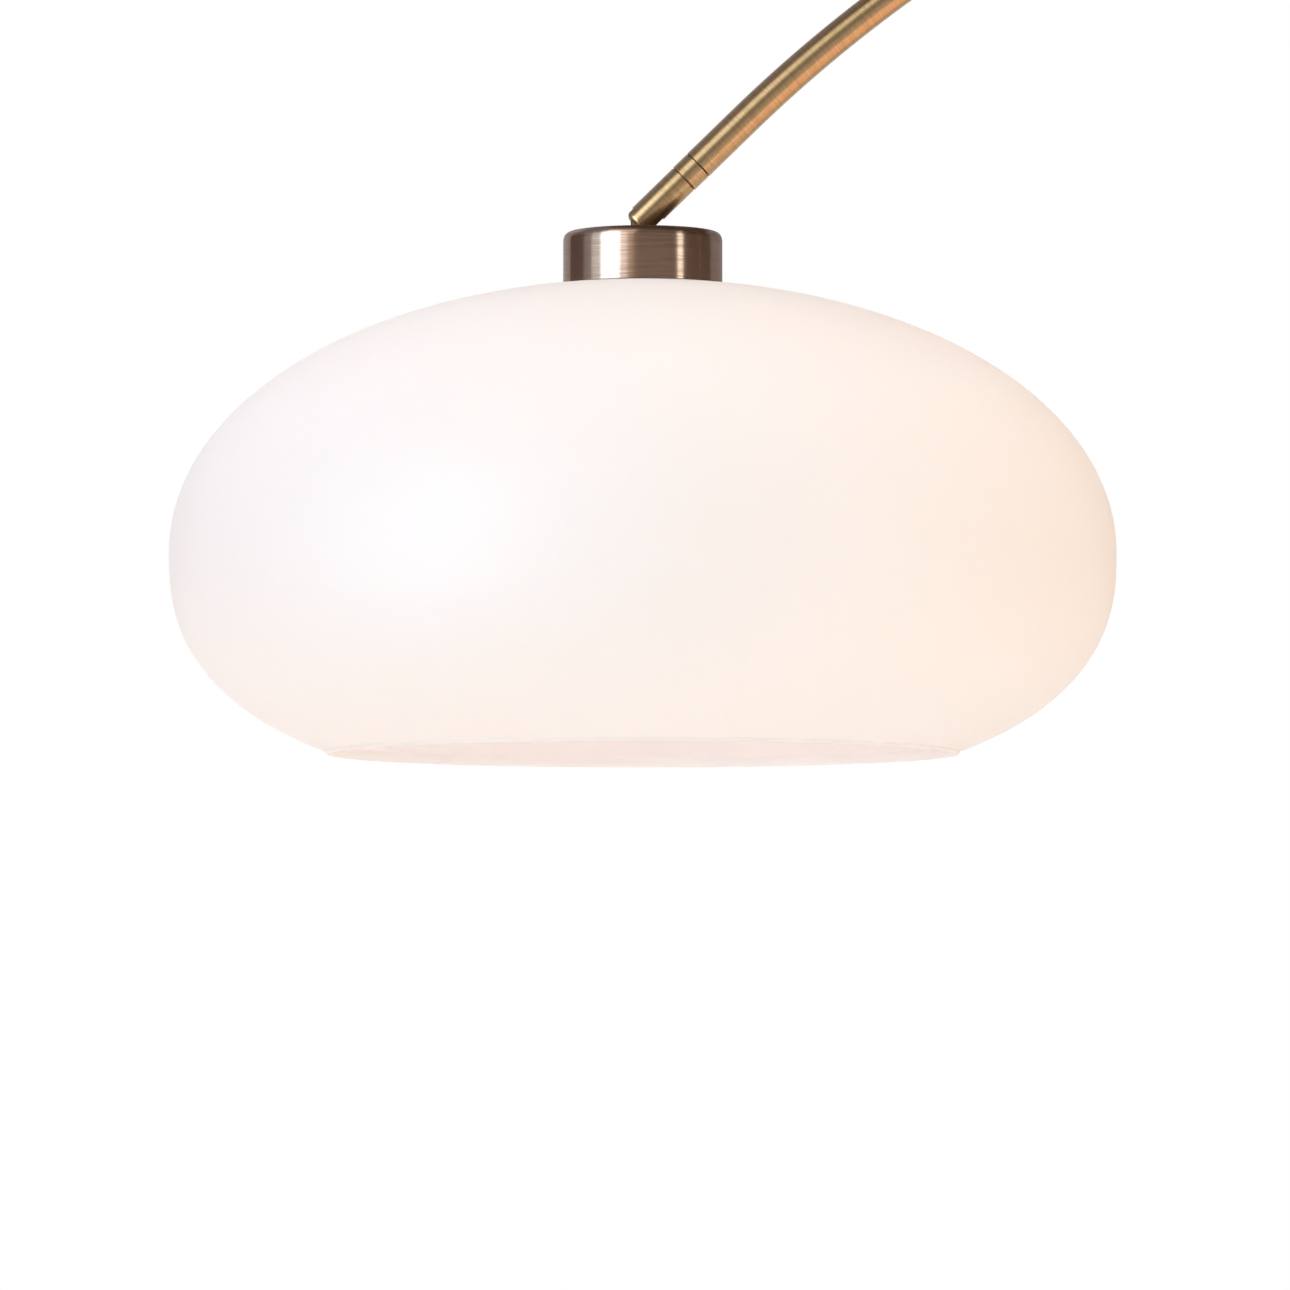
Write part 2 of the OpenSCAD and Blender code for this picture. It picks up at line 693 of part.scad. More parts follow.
// Half section of the glass: a dome above the widest circle, a fuller bowl below it and a short lip
module glass_section() {
    top_steps = 30;
    low_steps = 22;
    r_in = shade_r - glass_t;
    shoulder_r = mouth_r + 2;
    depth = shade_down - lip_h;
    low_h = bowl_height(shade_r, bowl_n, shoulder_r, depth);
    low_h_in = bowl_height(r_in, bowl_n, mouth_r - glass_t, depth);
    polygon(concat(
        glass_curve(shade_r, shade_up, dome_n, glass_angle(shade_r, dome_n, neck_hole_r), 0, top_steps),
        [for (i = [1:low_steps]) let (t = glass_angle(shade_r, bowl_n, shoulder_r) * i / low_steps)
            [shade_r * pow(cos(t), 2 / bowl_n), -low_h * pow(sin(t), 2 / bowl_n)]],
        [[mouth_r, -depth - 0.3], [mouth_r, -shade_down + 0.5], [mouth_r - 0.5, -shade_down]],
        [[mouth_r - glass_t + 0.5, -shade_down], [mouth_r - glass_t, -shade_down + 0.5]],
        [for (i = [low_steps:-1:1]) let (t = glass_angle(r_in, bowl_n, mouth_r - glass_t) * i / low_steps)
            [r_in * pow(cos(t), 2 / bowl_n), -low_h_in * pow(sin(t), 2 / bowl_n)]],
        glass_curve(r_in, shade_up - glass_t, dome_n, 0, glass_angle(r_in, dome_n, neck_hole_r), top_steps)
    ));
}

module glass_shade() {
    color(opal) at_head() translate([0, 0, equator]) rotate_extrude() glass_section();
}

module holder_insert() {
    color(porcelain) at_head() translate([0, 0, insert_top - insert_t]) difference() {
        cylinder(r = holder_r - holder_wall - 0.2, h = insert_t);
        for (side = [-1, 1]) translate([side * 9, 0, insert_t - 4]) cylinder(r = 2.1, h = 5);
    }
}

module terminal_screws() {
    color(brass) at_head() for (side = [-1, 1]) translate([side * 9, 0, insert_top - 3.6]) cylinder(r = 2, h = 3.4);
}

module holder_shell() {
    color(brass) at_head() translate([0, 0, insert_top - insert_t - shell_l]) ring(shell_r, shell_r - shell_t, shell_l);
}

module holder_contact() {
    color(brass) at_head() translate([0, 0, contact_z + 0.1]) {
        translate([-2.5, -2, 0]) cube([5, 4, 0.6]);
        translate([-2.5, -2, 0.6]) cube([0.6, 4, insert_top - insert_t - contact_z - 0.7]);
    }
}

module lead_stem() {
    splay_z = dome_top - 6;
    color(black) at_head() {
        translate([0, 0, splay_z]) cylinder(r = lead_r, h = cap_top - splay_z - 0.5);
        for (side = [-1, 1]) {
            translate([side * 1.2, 0, insert_top + 0.6]) cylinder(r = core_r, h = splay_z - insert_top - 0.6);
            translate([side * 1.2, 0, insert_top + 1.3]) rotate([0, side * 90, 0]) cylinder(r = core_r, h = 7.8);
            translate([side * core_x, 0, cap_top - 0.4]) cylinder(r = core_r, h = pivot_lift + 3.2);
        }
    }
}

// ---- Bulb ----
module bulb_envelope() {
    centre = bulb_low + bulb_r;
    neck_top_z = contact_z - bulb_cap_l + 1;
    // The neck flares into the globe where the globe is this wide of straight down
    meet = 40;
    meet_r = bulb_r * cos(meet);
    meet_z = centre + bulb_r * sin(meet);
    flare = [for (i = [0:8]) let (s = i / 8, w = s * s * (3 - 2 * s))
        [bulb_neck_r + (meet_r - bulb_neck_r) * w, neck_top_z + (meet_z - neck_top_z) * s]];
    color(opal) at_head() difference() {
        rotate_extrude() polygon(concat([[0, neck_top_z]], flare, arc_points(0, centre, bulb_r, meet, -90, 16)));
        rotate_extrude()
            polygon(concat(
                [[0, neck_top_z + 1]],
                [[bulb_neck_r - bulb_wall, neck_top_z + 1]],
                [for (p = flare) [p[0] - bulb_wall, p[1] - e]],
                arc_points(0, centre, bulb_r - bulb_wall, meet, -90, 16)
            ));
    }
}

module bulb_cap() {
    turns = 6;
    pitch = 3.6;
    top = contact_z - 2.2;
    color(zinc) at_head() rotate_extrude()
        polygon(concat(
            [[0, top], [9, top], [cap_thread_r - 0.8, top - 1.2]],
            [for (i = [0:4 * (turns - 1)]) let (a = 90 * i)
                [cap_thread_r - 0.35 - 0.35 * cos(a), top - 1.2 - pitch * i / 4]],
            [[cap_thread_r - 0.8, contact_z - bulb_cap_l + 1 + fit], [0, contact_z - bulb_cap_l + 1 + fit]]
        ));
}

module bulb_contact() {
    color(black) at_head() translate([0, 0, contact_z - 2.2]) cylinder(r1 = 8, r2 = 4.8, h = 2.2 - 0.6);
    color(zinc) at_head() translate([0, 0, contact_z - 0.6]) cylinder(r = 4.4, h = 0.6);
}

base_pad();
base_weight();
base_cover();
lead_gland();
base_stud();
base_washer();
base_nut();
pole_foot();
pole_insert();
pole_lower();
pole_coupler();
pole_upper();
clamp_collar();
collar_bush();
collar_grub_screw();
clamp_pad();
clamp_screw();
lead_pole();
lead_slack();
glide_bush();
arc_lower();
arc_spigot();
arc_grub_screws();
arc_upper();
lead_arc();
swivel_ring();
knuckle_fork();
swivel_grub_screw();
pivot_screw();
friction_washers();
knuckle_tongue();
shade_cap();
stem_nut();
holder_dome();
holder_skirt();
shade_ring_upper();
shade_ring_lower();
glass_gaskets();
glass_shade();
holder_insert();
holder_shell();
holder_contact();
terminal_screws();
lead_stem();
bulb_envelope();
bulb_cap();
bulb_contact();
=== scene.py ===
# %% [markdown]
# # An arc floor lamp, finished in Blender
#
# The lamp's working model comes in first, as a fixed frame: every tube, screw and joint already has its
# place and size. What is left to make here is what the eye sees. The big surfaces are rebuilt smooth, with
# the flow of the metal's brushing drawn in their UV maps, and each piece gets a material made of nodes.

# %% Load the frame
import json
import math

import bmesh
import bpy
from mathutils import Matrix, Vector


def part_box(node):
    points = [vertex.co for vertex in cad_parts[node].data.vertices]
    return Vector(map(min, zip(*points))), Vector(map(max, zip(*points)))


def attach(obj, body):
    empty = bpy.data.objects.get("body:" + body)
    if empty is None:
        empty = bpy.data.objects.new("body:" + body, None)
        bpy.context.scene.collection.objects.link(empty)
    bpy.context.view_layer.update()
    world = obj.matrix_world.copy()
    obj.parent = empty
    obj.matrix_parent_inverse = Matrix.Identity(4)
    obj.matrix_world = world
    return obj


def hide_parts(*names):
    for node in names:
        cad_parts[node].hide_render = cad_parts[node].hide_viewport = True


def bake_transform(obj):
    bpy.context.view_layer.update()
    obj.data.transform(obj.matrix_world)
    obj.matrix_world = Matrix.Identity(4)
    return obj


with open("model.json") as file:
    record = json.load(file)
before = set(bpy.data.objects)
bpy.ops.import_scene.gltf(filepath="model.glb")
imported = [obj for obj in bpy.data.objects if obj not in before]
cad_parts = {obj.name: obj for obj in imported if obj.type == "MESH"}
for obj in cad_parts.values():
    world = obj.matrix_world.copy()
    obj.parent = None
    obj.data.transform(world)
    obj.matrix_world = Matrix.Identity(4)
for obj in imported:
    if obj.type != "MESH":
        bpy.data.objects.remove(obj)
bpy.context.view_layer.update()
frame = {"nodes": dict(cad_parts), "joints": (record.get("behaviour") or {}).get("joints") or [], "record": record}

joints = {joint["name"]: joint for joint in frame["joints"]}
print("pieces in the frame:", len(frame["nodes"]), "and joints:", sorted(joints))

# %% [markdown]
# ## Where things are
#
# Nothing is placed by eye. The joints say where the shade hangs and which way the knuckle points, and the
# box round each node says how big it is. Only sizes that a box can't tell, such as a wall or a rounded
# edge, are written down again, in millimetres as on a drawing.

# %% Places and sizes
MM = 0.001
pivot = Vector(joints["shade_tilt"]["pos_m"])
stub_axis = Vector(joints["shade_swivel"]["axis"]).normalized()
glass_low, glass_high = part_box("glass_shade")
cap_low, cap_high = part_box("shade_cap")
head_x = pivot.x
rim_z = glass_low.z
glass_r = (glass_high.y - glass_low.y) / 2
widest_z = max((v.co.y, v.co.z) for v in frame["nodes"]["glass_shade"].data.vertices)[1]
print("shade radius", round(glass_r / MM, 1), "mm, widest at", round(widest_z, 4), "m")

# %% [markdown]
# ## The camera
#
# A long lens, far away and a little below the shade's mouth, keeps the shade's ellipse calm and lets a
# narrow crescent of the inside show. The height and the distance are set from the rim of the shade.

# %% Make the camera
CAMERA_BACK = 3.61
CAMERA_BELOW_RIM = 0.1537
AIM_ABOVE_RIM = 0.0440
CAMERA_ASIDE = 0.0009
LENS = 251.5
camera_data = bpy.data.cameras.new("camera")
camera_data.lens = LENS
camera = bpy.data.objects.new("camera", camera_data)
bpy.context.scene.collection.objects.link(camera)
bpy.context.scene.camera = camera
aim = Vector((head_x + CAMERA_ASIDE, 0, rim_z + AIM_ABOVE_RIM))
camera.location = (head_x + CAMERA_ASIDE, -CAMERA_BACK, rim_z - CAMERA_BELOW_RIM)
camera.rotation_euler = (aim - camera.location).to_track_quat("-Z", "Y").to_euler()
print("camera", [round(c, 3) for c in camera.location], "lens", LENS, "mm")

# %% [markdown]
# ## Helpers for nodes
#
# Materials and geometry are both trees of nodes. One function adds a node with its settings and links, so
# that a tree reads like a recipe. A second turns a colour as written on the web into Blender's linear one,
# and a third starts a material.

# %% Node and colour helpers
def add_node(tree, kind, inputs=None, **settings):
    """A new node. inputs maps a socket's name or number to a value or to another node's output."""
    node = tree.nodes.new(kind)
    for setting, value in settings.items():
        setattr(node, setting, value)
    for socket, value in (inputs or {}).items():
        if isinstance(value, bpy.types.NodeSocket):
            tree.links.new(value, node.inputs[socket])
        else:
            node.inputs[socket].default_value = value
    return node


def color(text):
    """An sRGB hex colour as linear red, green, blue and alpha."""
    parts = [int(text[i : i + 2], 16) / 255 for i in (1, 3, 5)]
    return [c / 12.92 if c <= 0.04045 else ((c + 0.055) / 1.055) ** 2.4 for c in parts] + [1]


def new_material(name, **sockets):
    """A material with one Principled shader, whose sockets are given by name with _ for a space."""
    material = bpy.data.materials.new(name)
    material.use_nodes = True
    shader = material.node_tree.nodes["Principled BSDF"]
    for socket, value in sockets.items():
        shader.inputs[socket.replace("_", " ")].default_value = value
    return material, material.node_tree, shader


print("white is", color("#FFFFFF"), "and mid grey is", [round(c, 3) for c in color("#808080")])

# %% [markdown]
# ## Brushed antique bronze
#
# The metal is steel plated with brass, darkened, brushed on a lathe and lacquered. The brush leaves fine
# rings round every turned piece. They blur a reflection across the rings and leave it sharp along them,
# which is why a light shows as a bright band with crisp sides. The Principled shader's Anisotropic value
# does this, and its Tangent has to know which way the rings run. So every bronze piece has a UV map whose
# first coordinate goes round the piece, and whose second is a length in metres along its profile. A UV map
# runs straight between a face's corners, so on large flat faces it shows sectors in place of rings. The
# base cover, the foot and the collar take their rings from the distance to the lamp's axis instead.

# %% Bronze
TONE_PATCH = 150 * MM
LINE_FADE = 25 * MM
TONE_SHARE = 0.15


def brushed_metal(name, light, dark, roughness, brush, spacing, relief, stretch, level=False):
    """Brushed metal. brush is how far the lines darken it, spacing and relief are in millimetres, and
    stretch is how much longer a reflection gets across the lines. level is for pieces with large flat faces
    round the lamp's axis: their rings come from the distance to it, not from a UV map."""
    material, tree, shader = new_material(
        name, Metallic=1.0, Anisotropic=stretch, Anisotropic_Rotation=0.25
    )
    uv = add_node(tree, "ShaderNodeUVMap", uv_map="UVMap")
    length = add_node(tree, "ShaderNodeSeparateXYZ", {0: uv.outputs["UV"]}).outputs["Y"]
    place = add_node(tree, "ShaderNodeTexCoord").outputs["Object"]
    tangent = add_node(tree, "ShaderNodeTangent", direction_type="UV_MAP", uv_map="UVMap").outputs[0]
    if level:
        flat = add_node(
            tree, "ShaderNodeVectorMath", {0: place, 1: (1, 1, 0)}, operation="MULTIPLY"
        ).outputs[0]
        reach = add_node(tree, "ShaderNodeVectorMath", {0: flat}, operation="LENGTH").outputs["Value"]
        height = add_node(tree, "ShaderNodeSeparateXYZ", {0: place}).outputs["Z"]
        length = add_node(tree, "ShaderNodeMath", {0: reach, 1: height}, operation="SUBTRACT").outputs[0]
        # Upright crossed with the way out from the axis points along the ring.
        ring = add_node(
            tree, "ShaderNodeVectorMath", {0: (0, 0, 1), 1: place}, operation="CROSS_PRODUCT"
        ).outputs[0]
        ring = add_node(tree, "ShaderNodeVectorMath", {0: ring}, operation="NORMALIZE").outputs[0]
        tangent = add_node(
            tree, "ShaderNodeVectorTransform", {0: ring}, convert_from="OBJECT", convert_to="WORLD"
        ).outputs[0]
    # A line is fine across and long along, so the noise is stretched.
    slow = add_node(
        tree, "ShaderNodeVectorMath", {0: place, 1: (1 / LINE_FADE,) * 3}, operation="MULTIPLY"
    ).outputs[0]
    slow = add_node(tree, "ShaderNodeSeparateXYZ", {0: slow}).outputs
    across = add_node(
        tree, "ShaderNodeMath", {0: length, 1: 1 / (spacing * MM)}, operation="MULTIPLY"
    ).outputs[0]
    stretched = add_node(tree, "ShaderNodeCombineXYZ", {0: across, 1: slow["X"], 2: slow["Y"]}).outputs[0]
    lines = add_node(
        tree, "ShaderNodeTexNoise", {"Vector": stretched, "Scale": 1.0, "Detail": 2.0, "Roughness": 0.6}
    ).outputs[0]
    tone = add_node(
        tree, "ShaderNodeTexNoise", {"Vector": place, "Scale": 1 / TONE_PATCH, "Detail": 2.0}
    ).outputs[0]
    dull = add_node(
        tree, "ShaderNodeMapRange", {"Value": lines, "From Min": 0.35, "From Max": 0.7, "To Max": brush}
    ).outputs[0]
    dull = add_node(
        tree, "ShaderNodeMath", {0: tone, 1: TONE_SHARE, 2: dull}, operation="MULTIPLY_ADD", use_clamp=True
    ).outputs[0]
    tint = add_node(tree, "ShaderNodeMix", {0: dull, 6: color(light), 7: color(dark)}, data_type="RGBA")
    rough = add_node(
        tree, "ShaderNodeMapRange", {"Value": lines, "To Min": roughness - 0.04, "To Max": roughness + 0.06}
    )
    bump = add_node(tree, "ShaderNodeBump", {"Strength": 0.3, "Distance": relief * MM, "Height": lines})
    tree.links.new(tint.outputs[2], shader.inputs["Base Color"])
    tree.links.new(rough.outputs[0], shader.inputs["Roughness"])
    tree.links.new(bump.outputs[0], shader.inputs["Normal"])
    tree.links.new(tangent, shader.inputs["Tangent"])
    return material


# A real brush leaves lines about a tenth of a millimetre apart, too fine to show here. These are coarser.
#
# Brass-plated steel, spun and brushed in the lathe: fine rings, and bands of light with crisp sides.
bronze_turned = brushed_metal("bronze_turned", "#C2A592", "#7C6152", 0.22, 0.6, 0.4, 0.0006, 0.9)
# The same steel on the stand, with a coarser brush: wider rings and a duller sheen.
bronze_plate = brushed_metal("bronze_plate", "#C8AB86", "#86694C", 0.36, 0.5, 0.5, 0.0015, 0.6, level=True)
# Drawn tube, brushed lightly, and the knuckle: more yellow, with hardly any lines and a softer highlight.
bronze_tube = brushed_metal("bronze_tube", "#C2A67E", "#866C4C", 0.28, 0.35, 0.8, 0.0, 0.3)
print("bronze for turned pieces, for plate and for tubes")

# %% [markdown]
# ## Opal glass
#
# Opal glass is milky right through: light enters, scatters and leaves a few millimetres on, so the shade
# glows softly and has almost no dark side. Outside it's etched to a satin. Subsurface scattering makes the
# glow, and a little roughness variation keeps the etched skin from looking like plastic.

# %% Opal glass
# A real etch has a grain of a few hundredths of a millimetre, too fine to show here. This one is coarser.
ETCH_GRAIN = 0.8 * MM
MILK_CLOUD = 90 * MM
SCATTER = 12 * MM
opal_glass, tree, shader = new_material(
    "opal_glass",
    Roughness=0.5,
    IOR=1.5,
    Subsurface_Weight=0.6,
    Subsurface_Radius=(1.0, 0.85, 0.75),
    Subsurface_Scale=SCATTER,
    Specular_IOR_Level=0.35,
)
place = add_node(tree, "ShaderNodeTexCoord").outputs["Object"]
cloud = add_node(tree, "ShaderNodeTexNoise", {"Vector": place, "Scale": 1 / MILK_CLOUD, "Detail": 1.0})
milk = add_node(
    tree, "ShaderNodeMix", {0: cloud.outputs[0], 6: color("#FBF5F1"), 7: color("#FAF1EB")}, data_type="RGBA"
)
etch = add_node(tree, "ShaderNodeTexNoise", {"Vector": place, "Scale": 1 / ETCH_GRAIN, "Detail": 2.0})
satin = add_node(tree, "ShaderNodeMapRange", {"Value": etch.outputs[0], "To Min": 0.45, "To Max": 0.6})
skin = add_node(tree, "ShaderNodeBump", {"Strength": 0.15, "Distance": 0.02 * MM, "Height": etch.outputs[0]})
tree.links.new(milk.outputs[2], shader.inputs["Base Color"])
tree.links.new(satin.outputs[0], shader.inputs["Roughness"])
tree.links.new(skin.outputs[0], shader.inputs["Normal"])
print("opal glass scatters", round(SCATTER / MM, 1), "mm")

# %% [markdown]
# ## The plainer materials
#
# The other surfaces differ in colour, gloss and grain only. One function makes them: two close colours
# mixed by a noise, and the same noise as a slight bump. The real grain is too fine to show from here, so
# the noise is drawn coarser, by a size in millimetres.

# %% Grained materials
def grained(name, light, dark, roughness, grain, bump, **sockets):
    """A material with a grain: its size and bump height are in millimetres."""
    material, tree, shader = new_material(name, **sockets)
    place = add_node(tree, "ShaderNodeTexCoord").outputs["Object"]
    noise = add_node(tree, "ShaderNodeTexNoise", {"Vector": place, "Scale": 1 / (grain * MM), "Detail": 4.0})
    tint = add_node(
        tree, "ShaderNodeMix", {0: noise.outputs[0], 6: color(light), 7: color(dark)}, data_type="RGBA"
    )
    rough = add_node(
        tree,
        "ShaderNodeMapRange",
        {"Value": noise.outputs[0], "To Min": roughness - 0.06, "To Max": roughness + 0.08},
    )
    relief = add_node(
        tree, "ShaderNodeBump", {"Strength": 0.6, "Distance": bump * MM, "Height": noise.outputs[0]}
    )
    tree.links.new(tint.outputs[2], shader.inputs["Base Color"])
    tree.links.new(rough.outputs[0], shader.inputs["Roughness"])
    tree.links.new(relief.outputs[0], shader.inputs["Normal"])
    return material


# Steel plated with zinc: a cool grey shine.
zinc_plate = grained("zinc_plated_steel", "#C9CBCD", "#A9ADB2", 0.32, 1.5, 0.01, Metallic=1.0)
# Iron cast in sand and left rough: dark, with a pitted grain.
sand_cast_iron = grained("sand_cast_iron", "#3B3A3A", "#262626", 0.7, 1.2, 0.25, Metallic=0.6)
# Pressed wool felt: dark and without shine, but for a soft edge of standing fibres.
wool_felt = grained("wool_felt", "#3A3938", "#1E1E1E", 0.95, 0.6, 0.4, Sheen_Weight=0.5, Sheen_Roughness=0.6)
# Moulded rubber: black and matt.
black_rubber = grained("black_rubber", "#1D1D1E", "#131313", 0.6, 0.5, 0.03)
# Extruded PVC: black with a dull gloss.
lead_sheath = grained("pvc_sheath", "#1A1A1B", "#141414", 0.42, 2.0, 0.01)
# Moulded nylon without dye: a waxy off-white that lets some light in.
natural_nylon = grained(
    "natural_nylon", "#E6E2D6", "#DAD5C6", 0.42, 1.0, 0.01, Subsurface_Weight=0.2, Subsurface_Scale=2 * MM
)
# Moulded phenolic resin: black and glossy.
phenolic = grained("black_phenolic", "#1B1A1A", "#121212", 0.26, 0.8, 0.01, Coat_Weight=0.2)
# Moulded silicone: cloudy white and soft.
silicone = grained(
    "clear_silicone", "#E9E6DE", "#DEDAD0", 0.5, 1.5, 0.01, Subsurface_Weight=0.3, Subsurface_Scale=3 * MM
)
# Fired and glazed porcelain: white under a clear gloss.
porcelain = grained("white_porcelain", "#EFEBE1", "#E4DFD2", 0.22, 3.0, 0.01, Coat_Weight=0.4)
# Drawn brass: a warm yellow shine.
drawn_brass = grained("drawn_brass", "#DDBB78", "#C39C58", 0.28, 1.0, 0.01, Metallic=1.0)
# Glass powdered white inside: a smooth, even white.
bulb_coating = grained(
    "bulb_coating", "#F7F4EE", "#F3EFE7", 0.3, 4.0, 0.005, Subsurface_Weight=0.4, Subsurface_Scale=4 * MM
)
print("materials so far:", len(bpy.data.materials))

# %% [markdown]
# ## A piece of the lamp
#
# Every visible piece is a mesh with a material, rides on one of the lamp's bodies, and stands in for the
# plain node it replaces. One function says all of that.

# %% Place a piece
def place_piece(name, mesh, body, material, nodes):
    """Puts a finished mesh on a body in place of its plain nodes."""
    piece = bpy.data.objects.new(name, mesh)
    bpy.context.scene.collection.objects.link(piece)
    mesh.materials.clear()
    mesh.materials.append(material)
    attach(piece, body)
    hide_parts(*nodes)
    print(f"{name}: {len(mesh.polygons)} faces on {body}")


# %% [markdown]
# ## Turning
#
# A lathe makes most of this lamp: a profile is turned round an axis. The same is done here. The profile is
# a list of distances from the axis and heights along it, and each corner can be rounded by a short arc.
# While the ring of faces is made, its UV map is written too: the way round first, then the length along
# the profile, so the brushing follows the surface even over a rounded edge.

# %% Turned meshes
def rounded(points, radius, steps=5):
    """The corners of an open outline, each cut back by up to radius and replaced by an arc."""
    out = [Vector(points[0])]
    for before, corner, after in zip(points, points[1:], points[2:]):
        before, corner, after = Vector(before), Vector(corner), Vector(after)
        to_before, to_after = before - corner, after - corner
        turn = to_before.angle(to_after)
        cut = min(radius / math.tan(turn / 2), to_before.length * 0.49, to_after.length * 0.49)
        start = corner + to_before.normalized() * cut
        end = corner + to_after.normalized() * cut
        for i in range(steps + 1):
            t = i / steps
            out.append(start * (1 - t) ** 2 + corner * 2 * t * (1 - t) + end * t * t)
    return out + [Vector(points[-1])]


def turned(name, outline, origin, axis=(0, 0, 1), sides=96, sharp=35):
    """Turns an outline of (distance from axis, height) round an axis. A closed outline makes a ring."""
    axis = Vector(axis).normalized()
    turn = Vector((0, 0, 1)).rotation_difference(axis).to_matrix().to_4x4()
    placing = Matrix.Translation(origin) @ turn
    mesh = bpy.data.meshes.new(name)
    work = bmesh.new()
    uv = work.loops.layers.uv.new("UVMap")
    closed = (Vector(outline[0]) - Vector(outline[-1])).length < 1e-7
    outline = [Vector(p) for p in (outline[:-1] if closed else outline)]
    lengths = [0]
    for a, b in zip(outline, outline[1:] + outline[:1]):
        lengths.append(lengths[-1] + (b - a).length)
    angles = [2 * math.pi * i / sides for i in range(sides)]
    rings = []
    for distance, height in outline:
        if distance < 1e-9:
            rings.append([work.verts.new((0, 0, height))] * sides)
        else:
            circle = [(distance * math.cos(a), distance * math.sin(a), height) for a in angles]
            rings.append([work.verts.new(point) for point in circle])
    pairs = list(zip(rings, rings[1:])) + ([(rings[-1], rings[0])] if closed else [])
    for j, (low, high) in enumerate(pairs):
        for i in range(sides):
            k = (i + 1) % sides
            corners = [(low[i], i, j), (low[k], i + 1, j), (high[k], i + 1, j + 1), (high[i], i, j + 1)]
            corners = [c for n, c in enumerate(corners) if c[0] not in [d[0] for d in corners[:n]]]
            if len(corners) < 3:
                continue
            face = work.faces.new([c[0] for c in corners])
            for loop, (_, around, along) in zip(face.loops, corners):
                loop[uv].uv = (around / sides, lengths[along])
    bmesh.ops.transform(work, matrix=placing, verts=work.verts)
    bmesh.ops.recalc_face_normals(work, faces=work.faces)
    for edge in work.edges:
        edge.smooth = len(edge.link_faces) < 2 or edge.calc_face_angle(0) < math.radians(sharp)
    for face in work.faces:
        face.smooth = True
    work.to_mesh(mesh)
    work.free()
    return mesh


print("a corner becomes", len(rounded([(0, 0), (1, 0), (1, 1)], 0.2)), "points")

# %% [markdown]
# ## Copies with a brush direction
#
# The knuckle's fork and tongue are milled as well as turned, so no single profile gives their shape. The
# foot, the collar and the base cover are copied too, and the last two have holes in their sides. Their
# nodes are already right. A copy is merged into one skin and smoothed between its real edges, and its UV
# map is wrapped round an axis, so that the same bronze works on it.

# %% Smooth copies
def smooth_copy(name, node, origin, axis, sharp=30):
    """A merged copy of a node, smooth but for its real edges, with a UV map wrapped round an axis."""
    mesh = frame["nodes"][node].data.copy()
    mesh.name = name
    work = bmesh.new()
    work.from_mesh(mesh)
    bmesh.ops.remove_doubles(work, verts=work.verts, dist=1e-6)
    bmesh.ops.dissolve_limit(work, angle_limit=math.radians(0.5), verts=work.verts, edges=work.edges)
    for edge in work.edges:
        edge.smooth = len(edge.link_faces) < 2 or edge.calc_face_angle(0) < math.radians(sharp)
    for face in work.faces:
        face.smooth = True
    wrap_uv(work, Vector(origin), Vector(axis).normalized())
    work.to_mesh(mesh)
    work.free()
    return mesh


def wrap_uv(work, origin, axis):
    """Writes a UV map: the way round the axis, and the height less the distance from the axis."""
    uv = work.loops.layers.uv.get("UVMap") or work.loops.layers.uv.new("UVMap")
    side = axis.orthogonal().normalized()
    other = axis.cross(side)

    def around(point):
        flat = point - origin
        return math.atan2(flat.dot(other), flat.dot(side)) / (2 * math.pi)

    for face in work.faces:
        middle = around(face.calc_center_median())
        for loop in face.loops:
            offset = loop.vert.co - origin
            height = offset.dot(axis)
            turn = around(loop.vert.co)
            turn += round(middle - turn)
            loop[uv].uv = (turn, height - (offset - axis * height).length)


print("copies are merged within a thousandth of a millimetre")

# %% [markdown]
# ## Geometry Nodes from a script
#
# A geometry tree is a machine with dials. It's built once, and each run turns the dials and keeps the mesh
# that comes out. The dials are sockets with identifiers, which a modifier wants instead of their names. Each
# tree ends the same way: smooth, without instances, and with its material.

# %% Tree helpers
MERGE_GAP = 0.001 * MM


def new_tree(name, dials):
    """A geometry tree with float inputs, given as a dict of names and defaults, and its input node."""
    tree = bpy.data.node_groups.new(name, "GeometryNodeTree")
    for dial, value in dials.items():
        kind = "NodeSocketInt" if isinstance(value, int) else "NodeSocketFloat"
        tree.interface.new_socket(dial, in_out="INPUT", socket_type=kind).default_value = value
    tree.interface.new_socket("Material", in_out="INPUT", socket_type="NodeSocketMaterial")
    tree.interface.new_socket("Geometry", in_out="OUTPUT", socket_type="NodeSocketGeometry")
    return tree, add_node(tree, "NodeGroupInput")


def end_tree(tree, source, geometry):
    """The end that every tree has: shade smooth, make instances real, and set the material."""
    smooth = add_node(tree, "GeometryNodeSetShadeSmooth", {"Geometry": geometry})
    real = add_node(tree, "GeometryNodeRealizeInstances", {"Geometry": smooth.outputs[0]})
    painted = add_node(
        tree, "GeometryNodeSetMaterial", {"Geometry": real.outputs[0], "Material": source.outputs["Material"]}
    )
    add_node(tree, "NodeGroupOutput", {"Geometry": painted.outputs[0]})


